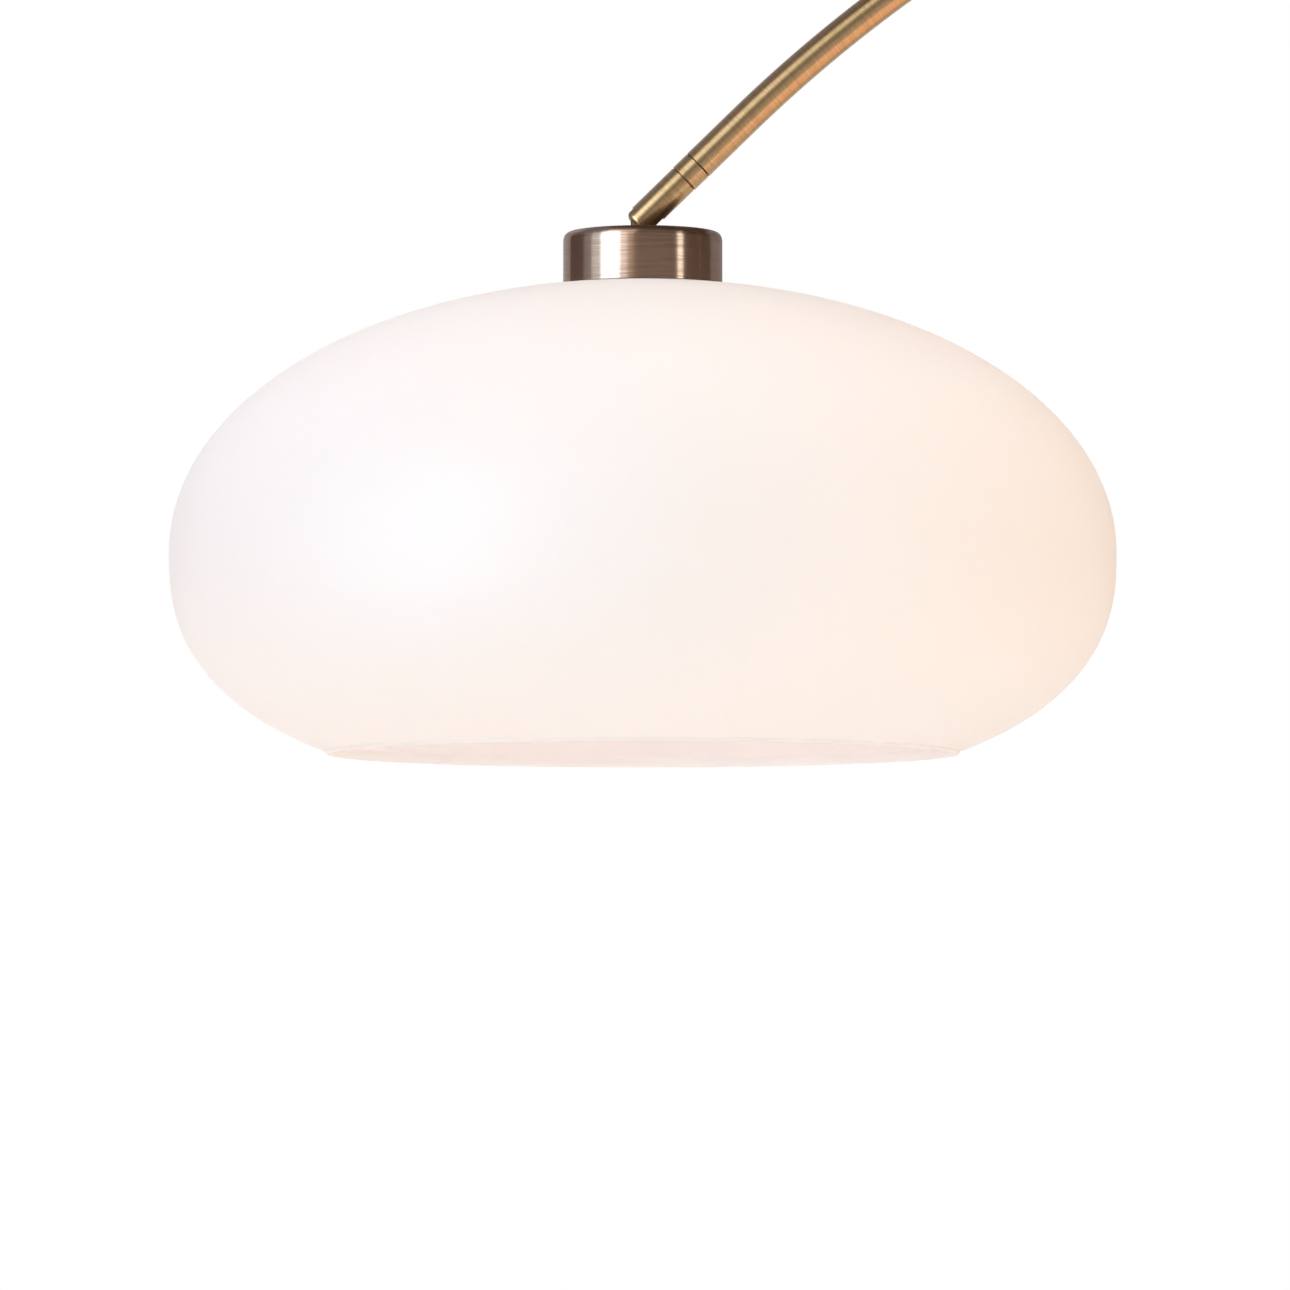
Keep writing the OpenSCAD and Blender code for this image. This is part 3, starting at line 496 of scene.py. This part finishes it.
def run_tree(tree, name, material, **dials):
    """Runs a tree with these dials, given with _ for a space, and returns a plain mesh."""
    holder = bpy.data.objects.new(name, bpy.data.meshes.new(name))
    bpy.context.scene.collection.objects.link(holder)
    machine = holder.modifiers.new("machine", "NODES")
    machine.node_group = tree
    sockets = {item.name: item.identifier for item in tree.interface.items_tree if item.in_out == "INPUT"}
    machine[sockets["Material"]] = material
    for dial, value in dials.items():
        machine[sockets[dial.replace("_", " ")]] = value
    evaluated = holder.evaluated_get(bpy.context.evaluated_depsgraph_get())
    mesh = bpy.data.meshes.new_from_object(evaluated)
    mesh.name = name
    bpy.data.objects.remove(holder)
    return mesh


def math_node(tree, operation, *values, **settings):
    """One sum in a geometry tree, as the output of a Math node."""
    node = add_node(tree, "ShaderNodeMath", dict(enumerate(values)), operation=operation, **settings)
    return node.outputs[0]


print("trees can be built and run")

# %% [markdown]
# ## The bent tube
#
# The arc is one long tube: straight up out of the pole, round a bend and straight again at the end. Its
# middle line follows a rule, so a geometry tree draws it. Every point knows how far along the tube it
# lies. That length gives its place on the line, and later the second UV coordinate. The ends are drawn in
# by a chamfer, which leaves the fine dark line where two tubes meet.

# %% Tree for a tube on the arc
def arc_tree():
    """A stretch of tube on the arc's middle line, with a small chamfer at each end."""
    tree, dial = new_tree(
        "tube on the arc",
        {
            "From": 0.0, "To": 1.0, "Leg": 0.5, "Low": 0.9, "Bend Radius": 0.58, "Bend Angle": 2.0,
            "Tube Radius": 0.006, "Chamfer": 0.0003, "Points": 200, "Sides": 48,
        },
    )
    take = dial.outputs
    index = add_node(tree, "GeometryNodeInputIndex").outputs[0]
    last = math_node(tree, "SUBTRACT", take["Points"], 1)
    step = math_node(tree, "SUBTRACT", index, 1)
    step = math_node(tree, "DIVIDE", step, math_node(tree, "SUBTRACT", last, 2))
    share = math_node(tree, "ADD", step, 0, use_clamp=True)
    inner = math_node(tree, "SUBTRACT", math_node(tree, "SUBTRACT", take["To"], take["From"]),
                      math_node(tree, "MULTIPLY", take["Chamfer"], 2))
    is_last = math_node(tree, "GREATER_THAN", index, math_node(tree, "SUBTRACT", last, 0.5))
    chamfers = math_node(tree, "ADD", math_node(tree, "GREATER_THAN", index, 0.5), is_last)
    length = math_node(tree, "MULTIPLY_ADD", share, inner, take["From"])
    length = math_node(tree, "MULTIPLY_ADD", chamfers, take["Chamfer"], length)
    past_leg = math_node(tree, "SUBTRACT", length, take["Leg"])
    angle = math_node(tree, "DIVIDE", past_leg, take["Bend Radius"])
    angle = math_node(tree, "MINIMUM", math_node(tree, "MAXIMUM", angle, 0), take["Bend Angle"])
    bend_length = math_node(tree, "MULTIPLY", take["Bend Radius"], take["Bend Angle"])
    past_bend = math_node(tree, "MAXIMUM", math_node(tree, "SUBTRACT", past_leg, bend_length), 0)
    sine, cosine = math_node(tree, "SINE", angle), math_node(tree, "COSINE", angle)
    inward = math_node(tree, "MULTIPLY", take["Bend Radius"], math_node(tree, "SUBTRACT", 1, cosine))
    x = math_node(tree, "MULTIPLY", math_node(tree, "MULTIPLY_ADD", past_bend, sine, inward), -1)
    on_leg = math_node(tree, "MINIMUM", length, take["Leg"])
    rise = math_node(tree, "MULTIPLY_ADD", take["Bend Radius"], sine, on_leg)
    z = math_node(tree, "ADD", math_node(tree, "MULTIPLY_ADD", past_bend, cosine, rise), take["Low"])
    place = add_node(tree, "ShaderNodeCombineXYZ", {0: x, 2: z})
    line = add_node(tree, "GeometryNodeCurvePrimitiveLine")
    line = add_node(tree, "GeometryNodeResampleCurve", {"Curve": line.outputs[0], "Count": take["Points"]})
    line = add_node(
        tree, "GeometryNodeSetPosition", {"Geometry": line.outputs[0], "Position": place.outputs[0]}
    )
    end = math_node(tree, "ADD", math_node(tree, "LESS_THAN", index, 0.5), is_last)
    drawn_in = math_node(tree, "DIVIDE", take["Chamfer"], take["Tube Radius"])
    scale = math_node(tree, "SUBTRACT", 1, math_node(tree, "MULTIPLY", end, drawn_in))
    along = add_node(tree, "GeometryNodeCaptureAttribute", {"Geometry": line.outputs[0]})
    along.capture_items.new("FLOAT", "Length")
    along.capture_items.new("FLOAT", "Scale")
    tree.links.new(length, along.inputs["Length"])
    tree.links.new(scale, along.inputs["Scale"])
    ring = add_node(
        tree, "GeometryNodeCurveArc",
        {"Resolution": math_node(tree, "ADD", take["Sides"], 1), "Radius": take["Tube Radius"],
         "Sweep Angle": 2 * math.pi},
    )
    turn = add_node(tree, "GeometryNodeCaptureAttribute", {"Geometry": ring.outputs[0]})
    turn.capture_items.new("FLOAT", "Turn")
    factor = add_node(tree, "GeometryNodeSplineParameter").outputs["Factor"]
    tree.links.new(factor, turn.inputs["Turn"])
    sweep = add_node(
        tree, "GeometryNodeCurveToMesh",
        {"Curve": along.outputs[0], "Profile Curve": turn.outputs[0], "Scale": along.outputs["Scale"],
         "Fill Caps": True},
    )
    map_uv = add_node(tree, "ShaderNodeCombineXYZ", {0: turn.outputs["Turn"], 1: along.outputs["Length"]})
    stored = add_node(
        tree, "GeometryNodeStoreNamedAttribute",
        {"Geometry": sweep.outputs[0], "Name": "UVMap", "Value": map_uv.outputs[0]},
        data_type="FLOAT2", domain="CORNER",
    )
    merged = add_node(
        tree, "GeometryNodeMergeByDistance", {"Geometry": stored.outputs[0], "Distance": MERGE_GAP}
    )
    end_tree(tree, dial, merged.outputs[0])
    return tree


tube_tree = arc_tree()
print("tube tree has", len(tube_tree.nodes), "nodes")

# %% Make the two arc tubes
lower_low, lower_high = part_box("arc_lower")
arc_r = (lower_high.y - lower_low.y) / 2
arc_low = lower_low.z
bend_angle = math.pi / 2 + math.asin(stub_axis.z)
END_STRAIGHT = 25 * MM
# From the tube's end to the pivot: the swivel ring, then the fork.
RING_AND_FORK = (8.2 + 22.9) * MM
# Where the two tubes meet, as an angle round the bend.
JOINT_ANGLE = math.radians(58)
TUBE_CHAMFER = 0.25 * MM
POINT_STEP = 3.5 * MM
TUBE_SIDES = 48
reach = END_STRAIGHT + RING_AND_FORK
bend_r = (-pivot.x - reach * stub_axis.x) / (1 + math.sin(bend_angle - math.pi / 2))
bend_z = pivot.z + reach * stub_axis.z - bend_r * math.cos(bend_angle - math.pi / 2)
leg = bend_z - arc_low
joint_length = leg + bend_r * JOINT_ANGLE
end_length = leg + bend_r * bend_angle + END_STRAIGHT
shape = {"Leg": leg, "Low": arc_low, "Bend_Radius": bend_r, "Bend_Angle": bend_angle, "Tube_Radius": arc_r}
for name, start, stop in (("arc_lower", 0.0, joint_length), ("arc_upper", joint_length, end_length)):
    mesh = run_tree(
        tube_tree, name + "_tube", bronze_tube, From=start, To=stop, Chamfer=TUBE_CHAMFER,
        Points=int((stop - start) / POINT_STEP), Sides=TUBE_SIDES, **shape
    )
    mesh.set_sharp_from_angle(angle=math.radians(30))
    place_piece(name + "_tube", mesh, "arc", bronze_tube, [name])
print("bend radius", round(bend_r / MM, 1), "mm, from", round(bend_z, 4), "m up")

# %% [markdown]
# ## The glass
#
# The shade's outline is a rule too: a superellipse, which is an ellipse with fuller shoulders. Above the
# widest circle it's nearly a true ellipse, and below it's fuller and is cut off by the mouth. A tree turns
# a flat grid into that shape: one way of the grid goes round, the other runs down the outline. The lip, a
# short straight collar, is made of the last two rows.

# %% Tree for the glass
def glass_tree():
    """The shade's outside skin, from the neck down to the mouth."""
    tree, dial = new_tree(
        "blown glass",
        {
            "Radius": 0.19, "Up": 0.11, "Down": 0.08, "Top Roundness": 2.05, "Bowl Roundness": 2.45,
            "Neck Radius": 0.02, "Mouth Radius": 0.127, "Shoulder": 0.002, "Lip": 0.002,
            "Sides": 192, "Rows": 72,
        },
    )
    take = dial.outputs

    def angle_at(distance, power):
        """The outline's angle where it is this far from the axis."""
        share = math_node(tree, "DIVIDE", distance, take["Radius"])
        share = math_node(tree, "POWER", share, math_node(tree, "MULTIPLY", power, 0.5))
        return math_node(tree, "ARCCOSINE", share)

    grid = add_node(
        tree, "GeometryNodeMeshGrid",
        {"Size X": 1.0, "Size Y": 1.0, "Vertices X": math_node(tree, "ADD", take["Sides"], 1),
         "Vertices Y": take["Rows"]},
    )
    place = add_node(tree, "GeometryNodeInputPosition")
    across = add_node(tree, "ShaderNodeSeparateXYZ", {0: place.outputs[0]})
    around = math_node(tree, "ADD", across.outputs["X"], 0.5)
    down = math_node(tree, "ADD", across.outputs["Y"], 0.5)
    # The last two rows are the lip. All the rows before them follow the superellipse.
    rows = math_node(tree, "SUBTRACT", take["Rows"], 1)
    row = math_node(tree, "ROUND", math_node(tree, "MULTIPLY", down, rows))
    curved_rows = math_node(tree, "SUBTRACT", rows, 2)
    share = math_node(tree, "DIVIDE", row, curved_rows, use_clamp=True)
    lip_row = math_node(tree, "MAXIMUM", math_node(tree, "SUBTRACT", row, curved_rows), 0)
    start = angle_at(take["Neck Radius"], take["Top Roundness"])
    shoulder = math_node(tree, "ADD", take["Mouth Radius"], take["Shoulder"])
    stop = angle_at(shoulder, take["Bowl Roundness"])
    sweep = math_node(tree, "ADD", start, stop)
    angle = math_node(tree, "SUBTRACT", start, math_node(tree, "MULTIPLY", share, sweep))
    above = math_node(tree, "GREATER_THAN", angle, 0)
    power = add_node(
        tree, "ShaderNodeMix", {0: above, 2: take["Bowl Roundness"], 3: take["Top Roundness"]}
    ).outputs[0]
    inverse = math_node(tree, "DIVIDE", 2, power)
    wide = math_node(tree, "POWER", math_node(tree, "COSINE", angle), inverse)
    wide = math_node(tree, "MULTIPLY", wide, take["Radius"])
    depth = math_node(tree, "SUBTRACT", take["Down"], take["Lip"])
    cut = math_node(tree, "DIVIDE", shoulder, take["Radius"])
    cut = math_node(tree, "SUBTRACT", 1, math_node(tree, "POWER", cut, take["Bowl Roundness"]))
    cut = math_node(tree, "POWER", cut, math_node(tree, "DIVIDE", 1, take["Bowl Roundness"]))
    bowl = math_node(tree, "MULTIPLY", math_node(tree, "DIVIDE", depth, cut), -1)
    height = add_node(tree, "ShaderNodeMix", {0: above, 2: bowl, 3: take["Up"]}).outputs[0]
    tall = math_node(tree, "POWER", math_node(tree, "ABSOLUTE", math_node(tree, "SINE", angle)), inverse)
    tall = math_node(tree, "MULTIPLY", tall, height)
    on_lip = math_node(tree, "GREATER_THAN", lip_row, 0.5)
    wide = add_node(tree, "ShaderNodeMix", {0: on_lip, 2: wide, 3: take["Mouth Radius"]}).outputs[0]
    # The lip's upper row lies a fifth of the lip's height below the bowl, and its lower row lies at the rim.
    drop = math_node(tree, "SUBTRACT", lip_row, 0.75)
    drop = math_node(tree, "MULTIPLY", drop, math_node(tree, "MULTIPLY", take["Lip"], 0.8))
    tall = math_node(tree, "SUBTRACT", tall, math_node(tree, "MULTIPLY", on_lip, drop))
    turn = math_node(tree, "MULTIPLY", around, 2 * math.pi)
    x = math_node(tree, "MULTIPLY", wide, math_node(tree, "COSINE", turn))
    y = math_node(tree, "MULTIPLY", wide, math_node(tree, "SINE", turn))
    point = add_node(tree, "ShaderNodeCombineXYZ", {0: x, 1: y, 2: tall})
    shaped = add_node(
        tree, "GeometryNodeSetPosition", {"Geometry": grid.outputs[0], "Position": point.outputs[0]}
    )
    closed = add_node(
        tree, "GeometryNodeMergeByDistance", {"Geometry": shaped.outputs[0], "Distance": MERGE_GAP}
    )
    end_tree(tree, dial, closed.outputs[0])
    return tree


glass = glass_tree()
print("glass tree has", len(glass.nodes), "nodes")

# %% [markdown]
# The tree gives the outside skin. Solidify adds the wall inwards, and a small bevel melts the cut edges of
# the mouth and the neck, as the flame does when the glass is finished.

# %% Make the glass shade
GLASS_WALL = 3 * MM
EDGE_MELT = 0.9 * MM
GLASS_UP = 110 * MM
NECK_RADIUS = 20.3 * MM
MOUTH_RADIUS = 127 * MM
GLASS_SIDES, GLASS_ROWS = 192, 84
glass_mesh = run_tree(
    glass, "opal_shade", opal_glass, Radius=glass_r, Up=GLASS_UP, Down=widest_z - rim_z,
    Neck_Radius=NECK_RADIUS, Mouth_Radius=MOUTH_RADIUS, Sides=GLASS_SIDES, Rows=GLASS_ROWS,
)
glass_mesh.transform(Matrix.Translation((head_x, 0, widest_z)))


def modified(mesh, *modifiers):
    """The mesh after a row of modifiers, each a kind and its settings."""
    holder = bpy.data.objects.new("holder", mesh)
    bpy.context.scene.collection.objects.link(holder)
    for kind, settings in modifiers:
        modifier = holder.modifiers.new(kind, kind)
        for setting, value in settings.items():
            setattr(modifier, setting, value)
    result = bpy.data.meshes.new_from_object(holder.evaluated_get(bpy.context.evaluated_depsgraph_get()))
    result.name = mesh.name
    bpy.data.objects.remove(holder)
    return result


def facing_out(mesh, inside):
    """Turns the skin so that it faces away from a point inside it."""
    work = bmesh.new()
    work.from_mesh(mesh)
    face = max(work.faces, key=lambda f: (f.calc_center_median() - inside).length)
    if face.normal.dot(face.calc_center_median() - inside) < 0:
        bmesh.ops.reverse_faces(work, faces=work.faces)
    work.to_mesh(mesh)
    work.free()


facing_out(glass_mesh, Vector((head_x, 0, widest_z)))
glass_mesh = modified(
    glass_mesh,
    ("SOLIDIFY", {"thickness": GLASS_WALL, "offset": -1.0, "use_even_offset": True}),
    ("BEVEL", {"width": EDGE_MELT, "segments": 4, "limit_method": "ANGLE", "angle_limit": math.radians(60)}),
)
place_piece("opal_shade", glass_mesh, "head", opal_glass, ["glass_shade"])

# %% [markdown]
# ## The cap
#
# The cap is spun from sheet: a flat top, a rounded shoulder and a plain skirt that stops just above the
# glass. It's one thin outline, inside and outside, turned round the shade's axis.

# %% Make the cap
CAP_WALL = 1 * MM
CAP_SHOULDER = 4 * MM
cap_r = (cap_high.y - cap_low.y) / 2
cap_top, cap_bottom = cap_high.z, cap_low.z
STEM_HOLE = 5.05 * MM
outside = rounded([(STEM_HOLE, cap_top), (cap_r, cap_top), (cap_r, cap_bottom)], CAP_SHOULDER, 10)
inner = cap_r - CAP_WALL
inside = rounded(
    [(inner, cap_bottom), (inner, cap_top - CAP_WALL), (STEM_HOLE, cap_top - CAP_WALL)],
    CAP_SHOULDER - CAP_WALL,
    10,
)
outline = outside + inside + [Vector((STEM_HOLE, cap_top))]
mesh = turned("spun_cap", outline, (head_x, 0, 0), sides=160)
place_piece("spun_cap", mesh, "head", bronze_turned, ["shade_cap"])

# %% [markdown]
# ## The knuckle
#
# Ring, fork and tongue are copies of their nodes. The brushing on the ring and the fork is wrapped round
# the stub's own axis, because the whole stub was brushed as one bar in the lathe.

# %% Make the knuckle
for name, node, body, axis, metal in (
    ("turned_ring", "swivel_ring", "arc", stub_axis, bronze_tube),
    ("milled_fork", "knuckle_fork", "fork", stub_axis, bronze_tube),
    ("milled_tongue", "knuckle_tongue", "head", (0, 0, 1), bronze_turned),
):
    place_piece(name, smooth_copy(name, node, pivot, axis), body, metal, [node])

# %% [markdown]
# ## Pole, foot, collar and base
#
# The pole tubes are turned like the cap. They meet in a fine groove, which comes from the chamfers on their
# ends. The foot, the collar and the base cover, a wide shallow dish pressed over the iron weight, are copies
# in the plate's bronze. The felt under the base is turned too.

# %% Make the pole and its fittings
EDGE = 0.4 * MM
POLE_WALL = 1.5 * MM


def tube_outline(low, high, radius, wall, edge):
    """Half section of a tube with chamfered ends."""
    return [
        Vector(p) for p in (
            (radius - wall, low), (radius - edge, low), (radius, low + edge),
            (radius, high - edge), (radius - edge, high), (radius - wall, high), (radius - wall, low),
        )
    ]


for node in ("pole_lower", "pole_upper"):
    low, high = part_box(node)
    outline = tube_outline(low.z, high.z, (high.x - low.x) / 2, POLE_WALL, EDGE)
    mesh = turned(node + "_tube", outline, (0, 0, 0), sides=72)
    place_piece(node + "_tube", mesh, "root", bronze_tube, [node])

for name, node in (("pole_cup", "pole_foot"), ("turned_collar", "clamp_collar")):
    mesh = smooth_copy(name, node, (0, 0, 0), (0, 0, 1))
    place_piece(name, mesh, "root", bronze_plate, [node])

# %% Make the base cover and the felt
mesh = smooth_copy("pressed_cover", "base_cover", (0, 0, 0), (0, 0, 1), sharp=40)
place_piece("pressed_cover", mesh, "root", bronze_plate, ["base_cover"])
pad_low, pad_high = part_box("base_pad")
pad_r = (pad_high.y - pad_low.y) / 2
outline = rounded([(0, pad_low.z), (pad_r, pad_low.z), (pad_r, pad_high.z), (0, pad_high.z)], 1 * MM, 4)
mesh = turned("felt_pad", outline, (0, 0, 0), sides=160)
place_piece("felt_pad", mesh, "root", wool_felt, ["base_pad"])

# %% [markdown]
# ## The screws and the pieces in the shade
#
# Small pieces are smooth copies of their nodes. Of these only the clamp screw is bronze. It lies along X, so
# its brushing goes round that axis. The other materials here don't read the UV map.

# %% Small visible pieces
small = {
    "clamp_screw": ("clamp_screw", bronze_turned, "antique_bronze"),
    "clamp_pad": ("clamp_pad", natural_nylon, "nylon"),
    "lead_gland": ("root", black_rubber, "black_rubber"),
    "collar_grub_screw": ("root", zinc_plate, "zinc_steel"),
    "arc_grub_screws": ("arc", zinc_plate, "zinc_steel"),
    "swivel_grub_screw": ("fork", zinc_plate, "zinc_steel"),
    "pivot_screw": ("fork", zinc_plate, "zinc_steel"),
    "friction_washers": ("fork", natural_nylon, "nylon"),
    "holder_dome": ("head", phenolic, "holder_plastic"),
    "holder_skirt": ("head", phenolic, "holder_plastic"),
    "shade_ring_upper": ("head", phenolic, "holder_plastic"),
    "shade_ring_lower": ("head", phenolic, "holder_plastic"),
    "glass_gaskets": ("head", silicone, "silicone"),
    "bulb_envelope": ("head", bulb_coating, "bulb_glass"),
    "bulb_cap": ("head", zinc_plate, "zinc_steel"),
}
for node, (body, material, slot) in small.items():
    axis = (1, 0, 0) if node == "clamp_screw" else (0, 0, 1)
    low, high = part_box(node)
    mesh = smooth_copy(node + "_fine", node, (low + high) / 2, axis)
    place_piece(node + "_fine", mesh, body, material, [node])

# %% [markdown]
# ## The slack lead
#
# The lead in the pole has some slack, which gives way as the arc slides. Its lower end stays in the pole
# and its upper end goes with the glide bush. Here it's turned with a ring of points every few millimetres
# and left where it is made, on no body.

# %% Make the slack lead
SLACK_ROWS = 40
slack_low, slack_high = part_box("lead_slack")
slack_r = (slack_high.y - slack_low.y) / 2
slack_l = slack_high.z - slack_low.z
side = [(slack_r, slack_low.z + slack_l * row / SLACK_ROWS) for row in range(SLACK_ROWS + 1)]
outline = [(0, slack_low.z)] + side + [(0, slack_high.z)]
slack = bpy.data.objects.new("slack_run", turned("slack_run", outline, (0, 0, 0), sides=24))
bpy.context.scene.collection.objects.link(slack)
slack.data.materials.clear()
slack.data.materials.append(lead_sheath)
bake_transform(slack)
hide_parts("lead_slack")
print("slack lead", round(slack_l / MM, 1), "mm long")

# %% [markdown]
# ## The pieces inside
#
# What is only ever seen when the lamp is taken apart keeps its plain node. Every node gets the material of
# the slot that the lamp's record names for it.

# %% Materials for the pieces inside
slot_materials = {
    "antique_bronze": bronze_turned, "zinc_steel": zinc_plate, "grey_iron": sand_cast_iron, "felt": wool_felt,
    "black_rubber": black_rubber, "nylon": natural_nylon, "lead_sheath": lead_sheath,
    "holder_plastic": phenolic, "silicone": silicone, "porcelain": porcelain, "brass": drawn_brass,
    "opal_glass": opal_glass, "bulb_glass": bulb_coating,
}
for part in frame["record"]["subparts"]:
    node = frame["nodes"][part["node"]]
    node.data.materials.clear()
    node.data.materials.append(slot_materials[part["material_slot"]])

# %% [markdown]
# ## The studio
#
# A pale floor and a white surround, as on a product table. The camera sees plain white behind the lamp, and
# a floor that fades to the same white, so that no horizon cuts through the picture. Metal shows nothing
# but what's round it, so what it sees is built like a studio: dim walls, and cards that only a reflection
# can see. Glass needs the opposite, light from everywhere: a bright surround, and a tent of soft lights that
# no reflection can see, one of them inside the shade.

# %% Floor
FLOOR_RADIUS = 40
FADE_FROM, FADE_TO = 0.6, 4.0
floor_mesh = bpy.data.meshes.new("floor")
work = bmesh.new()
bmesh.ops.create_circle(work, cap_ends=True, segments=96, radius=FLOOR_RADIUS)
work.to_mesh(floor_mesh)
work.free()
floor = bpy.data.objects.new("floor", floor_mesh)
bpy.context.scene.collection.objects.link(floor)
material, tree, shader = new_material("pale_floor", Base_Color=color("#F4F3F1"), Roughness=0.8)
floor_mesh.materials.append(material)
place = add_node(tree, "ShaderNodeTexCoord").outputs["Object"]
away = add_node(tree, "ShaderNodeVectorMath", {0: place}, operation="LENGTH").outputs["Value"]
fade = add_node(
    tree, "ShaderNodeMapRange", {"Value": away, "From Min": FADE_FROM, "From Max": FADE_TO},
    interpolation_type="SMOOTHSTEP",
).outputs[0]
ray = add_node(tree, "ShaderNodeLightPath").outputs["Is Camera Ray"]
fade = add_node(tree, "ShaderNodeMath", {0: fade, 1: ray}, operation="MULTIPLY").outputs[0]
glow = add_node(tree, "ShaderNodeEmission", {"Color": color("#FFFFFF")})
faded = add_node(tree, "ShaderNodeMixShader", {0: fade, 1: shader.outputs[0], 2: glow.outputs[0]})
tree.links.new(faded.outputs[0], tree.nodes["Material Output"].inputs["Surface"])
print("the floor fades from", FADE_FROM, "to", FADE_TO, "m")

# %% Surround
world = bpy.data.worlds.new("studio")
bpy.context.scene.world = world
world.use_nodes = True
tree = world.node_tree
background = tree.nodes["Background"]
toward = add_node(tree, "ShaderNodeTexCoord").outputs["Generated"]
toward = add_node(tree, "ShaderNodeSeparateXYZ", {0: toward}).outputs
front = add_node(
    tree, "ShaderNodeMapRange", {"Value": toward["Y"], "From Min": -0.3, "From Max": -0.85}
).outputs[0]
room = add_node(
    tree, "ShaderNodeMix", {0: front, 6: color("#5B5049"), 7: color("#8A8682")}, data_type="RGBA"
).outputs[2]
ray = add_node(tree, "ShaderNodeLightPath").outputs
side = add_node(
    tree, "ShaderNodeMapRange", {"Value": toward["X"], "From Min": -0.9, "From Max": 0.9}
).outputs[0]
sky = add_node(
    tree, "ShaderNodeMix", {0: side, 6: color("#DCDDE1"), 7: color("#E8CFBB")}, data_type="RGBA"
).outputs[2]
lit = add_node(tree, "ShaderNodeMix", {0: ray["Is Glossy Ray"], 6: sky, 7: room}, data_type="RGBA").outputs[2]
seen = add_node(
    tree, "ShaderNodeMix", {0: ray["Is Camera Ray"], 6: lit, 7: color("#FFFFFF")}, data_type="RGBA"
).outputs[2]
tree.links.new(seen, background.inputs["Color"])
print("the surround has", len(tree.nodes), "nodes")

# %% Lights
def soft_light(name, azimuth, rise, distance, width, height, radiance, tint, reflected):
    """An area light that faces the shade, seen either only in reflections or only by rough surfaces.

    azimuth is in degrees from the camera's side, positive to the right, and rise is in degrees upward.
    """
    light = bpy.data.lights.new(name, "AREA")
    light.shape = "RECTANGLE"
    light.size, light.size_y = width, height
    light.energy = radiance * math.pi * width * height
    light.color = color(tint)[:3]
    lamp = bpy.data.objects.new(name, light)
    bpy.context.scene.collection.objects.link(lamp)
    target = Vector((head_x, 0, widest_z))
    a, r = math.radians(azimuth), math.radians(rise)
    way = Vector((math.sin(a) * math.cos(r), -math.cos(a) * math.cos(r), math.sin(r)))
    lamp.location = target + way * distance
    lamp.rotation_euler = (-way).to_track_quat("-Z", "Y").to_euler()
    lamp.visible_camera = False
    lamp.visible_glossy = reflected
    lamp.visible_diffuse = not reflected


# Each row: name, azimuth, rise, distance, width, height, radiance and tint.
CARDS = (
    ("card_left", -48.5, 0, 2.2, 1.16, 2.8, 4.4, "#C2E5FF"),
    ("card_left_soft", -51, 0, 2.3, 2.5, 2.8, 1.1, "#D9F0FF"),
    ("card_left_wide", -58, 0, 2.4, 3.6, 2.6, 0.38, "#D2EAFF"),
    ("card_high", -33, 32, 2.2, 1.5, 1.5, 1.2, "#FFF6E6"),
    ("card_top_left", -112, 43, 2.4, 2.4, 2.0, 0.3, "#D8DEFF"),
    ("card_strip", 56, 0, 2.2, 0.34, 2.0, 2.8, "#F4FFFF"),
    ("card_back_left", -152, 5, 2.6, 2.0, 4.2, 0.4, "#F4F6FF"),
    ("card_back_right", 143, 5, 2.6, 2.6, 3.0, 0.23, "#F4F6FF"),
    ("card_warm", 70, -35, 0.9, 1.05, 0.7, 0.8, "#FFA561"),
)
TENT = (
    ("tent_left", -60, 10, 2.5, 2.5, 2.5, 0.69, "#DFE8FF"),
    ("tent_front", 0, 10, 2.5, 2.5, 2.5, 0.48, "#2CD1FF"),
    ("tent_right", 70, 10, 2.5, 2.5, 2.5, 0.65, "#FFD193"),
    ("tent_top", 0, 80, 1.6, 3.0, 3.0, 0.4, "#F3F8FF"),
    ("tent_low", 0, -80, 1.2, 2.0, 2.0, 0.43, "#FFF8EF"),
    ("tent_inside", 0, -90, 0.07, 0.17, 0.17, 2.35, "#F2F2FF"),
)
for card in CARDS:
    soft_light(*card, reflected=True)
for light in TENT:
    soft_light(*light, reflected=False)
bpy.context.scene.view_settings.view_transform = "Standard"
print("cards:", len(CARDS), "and tent lights:", len(TENT))
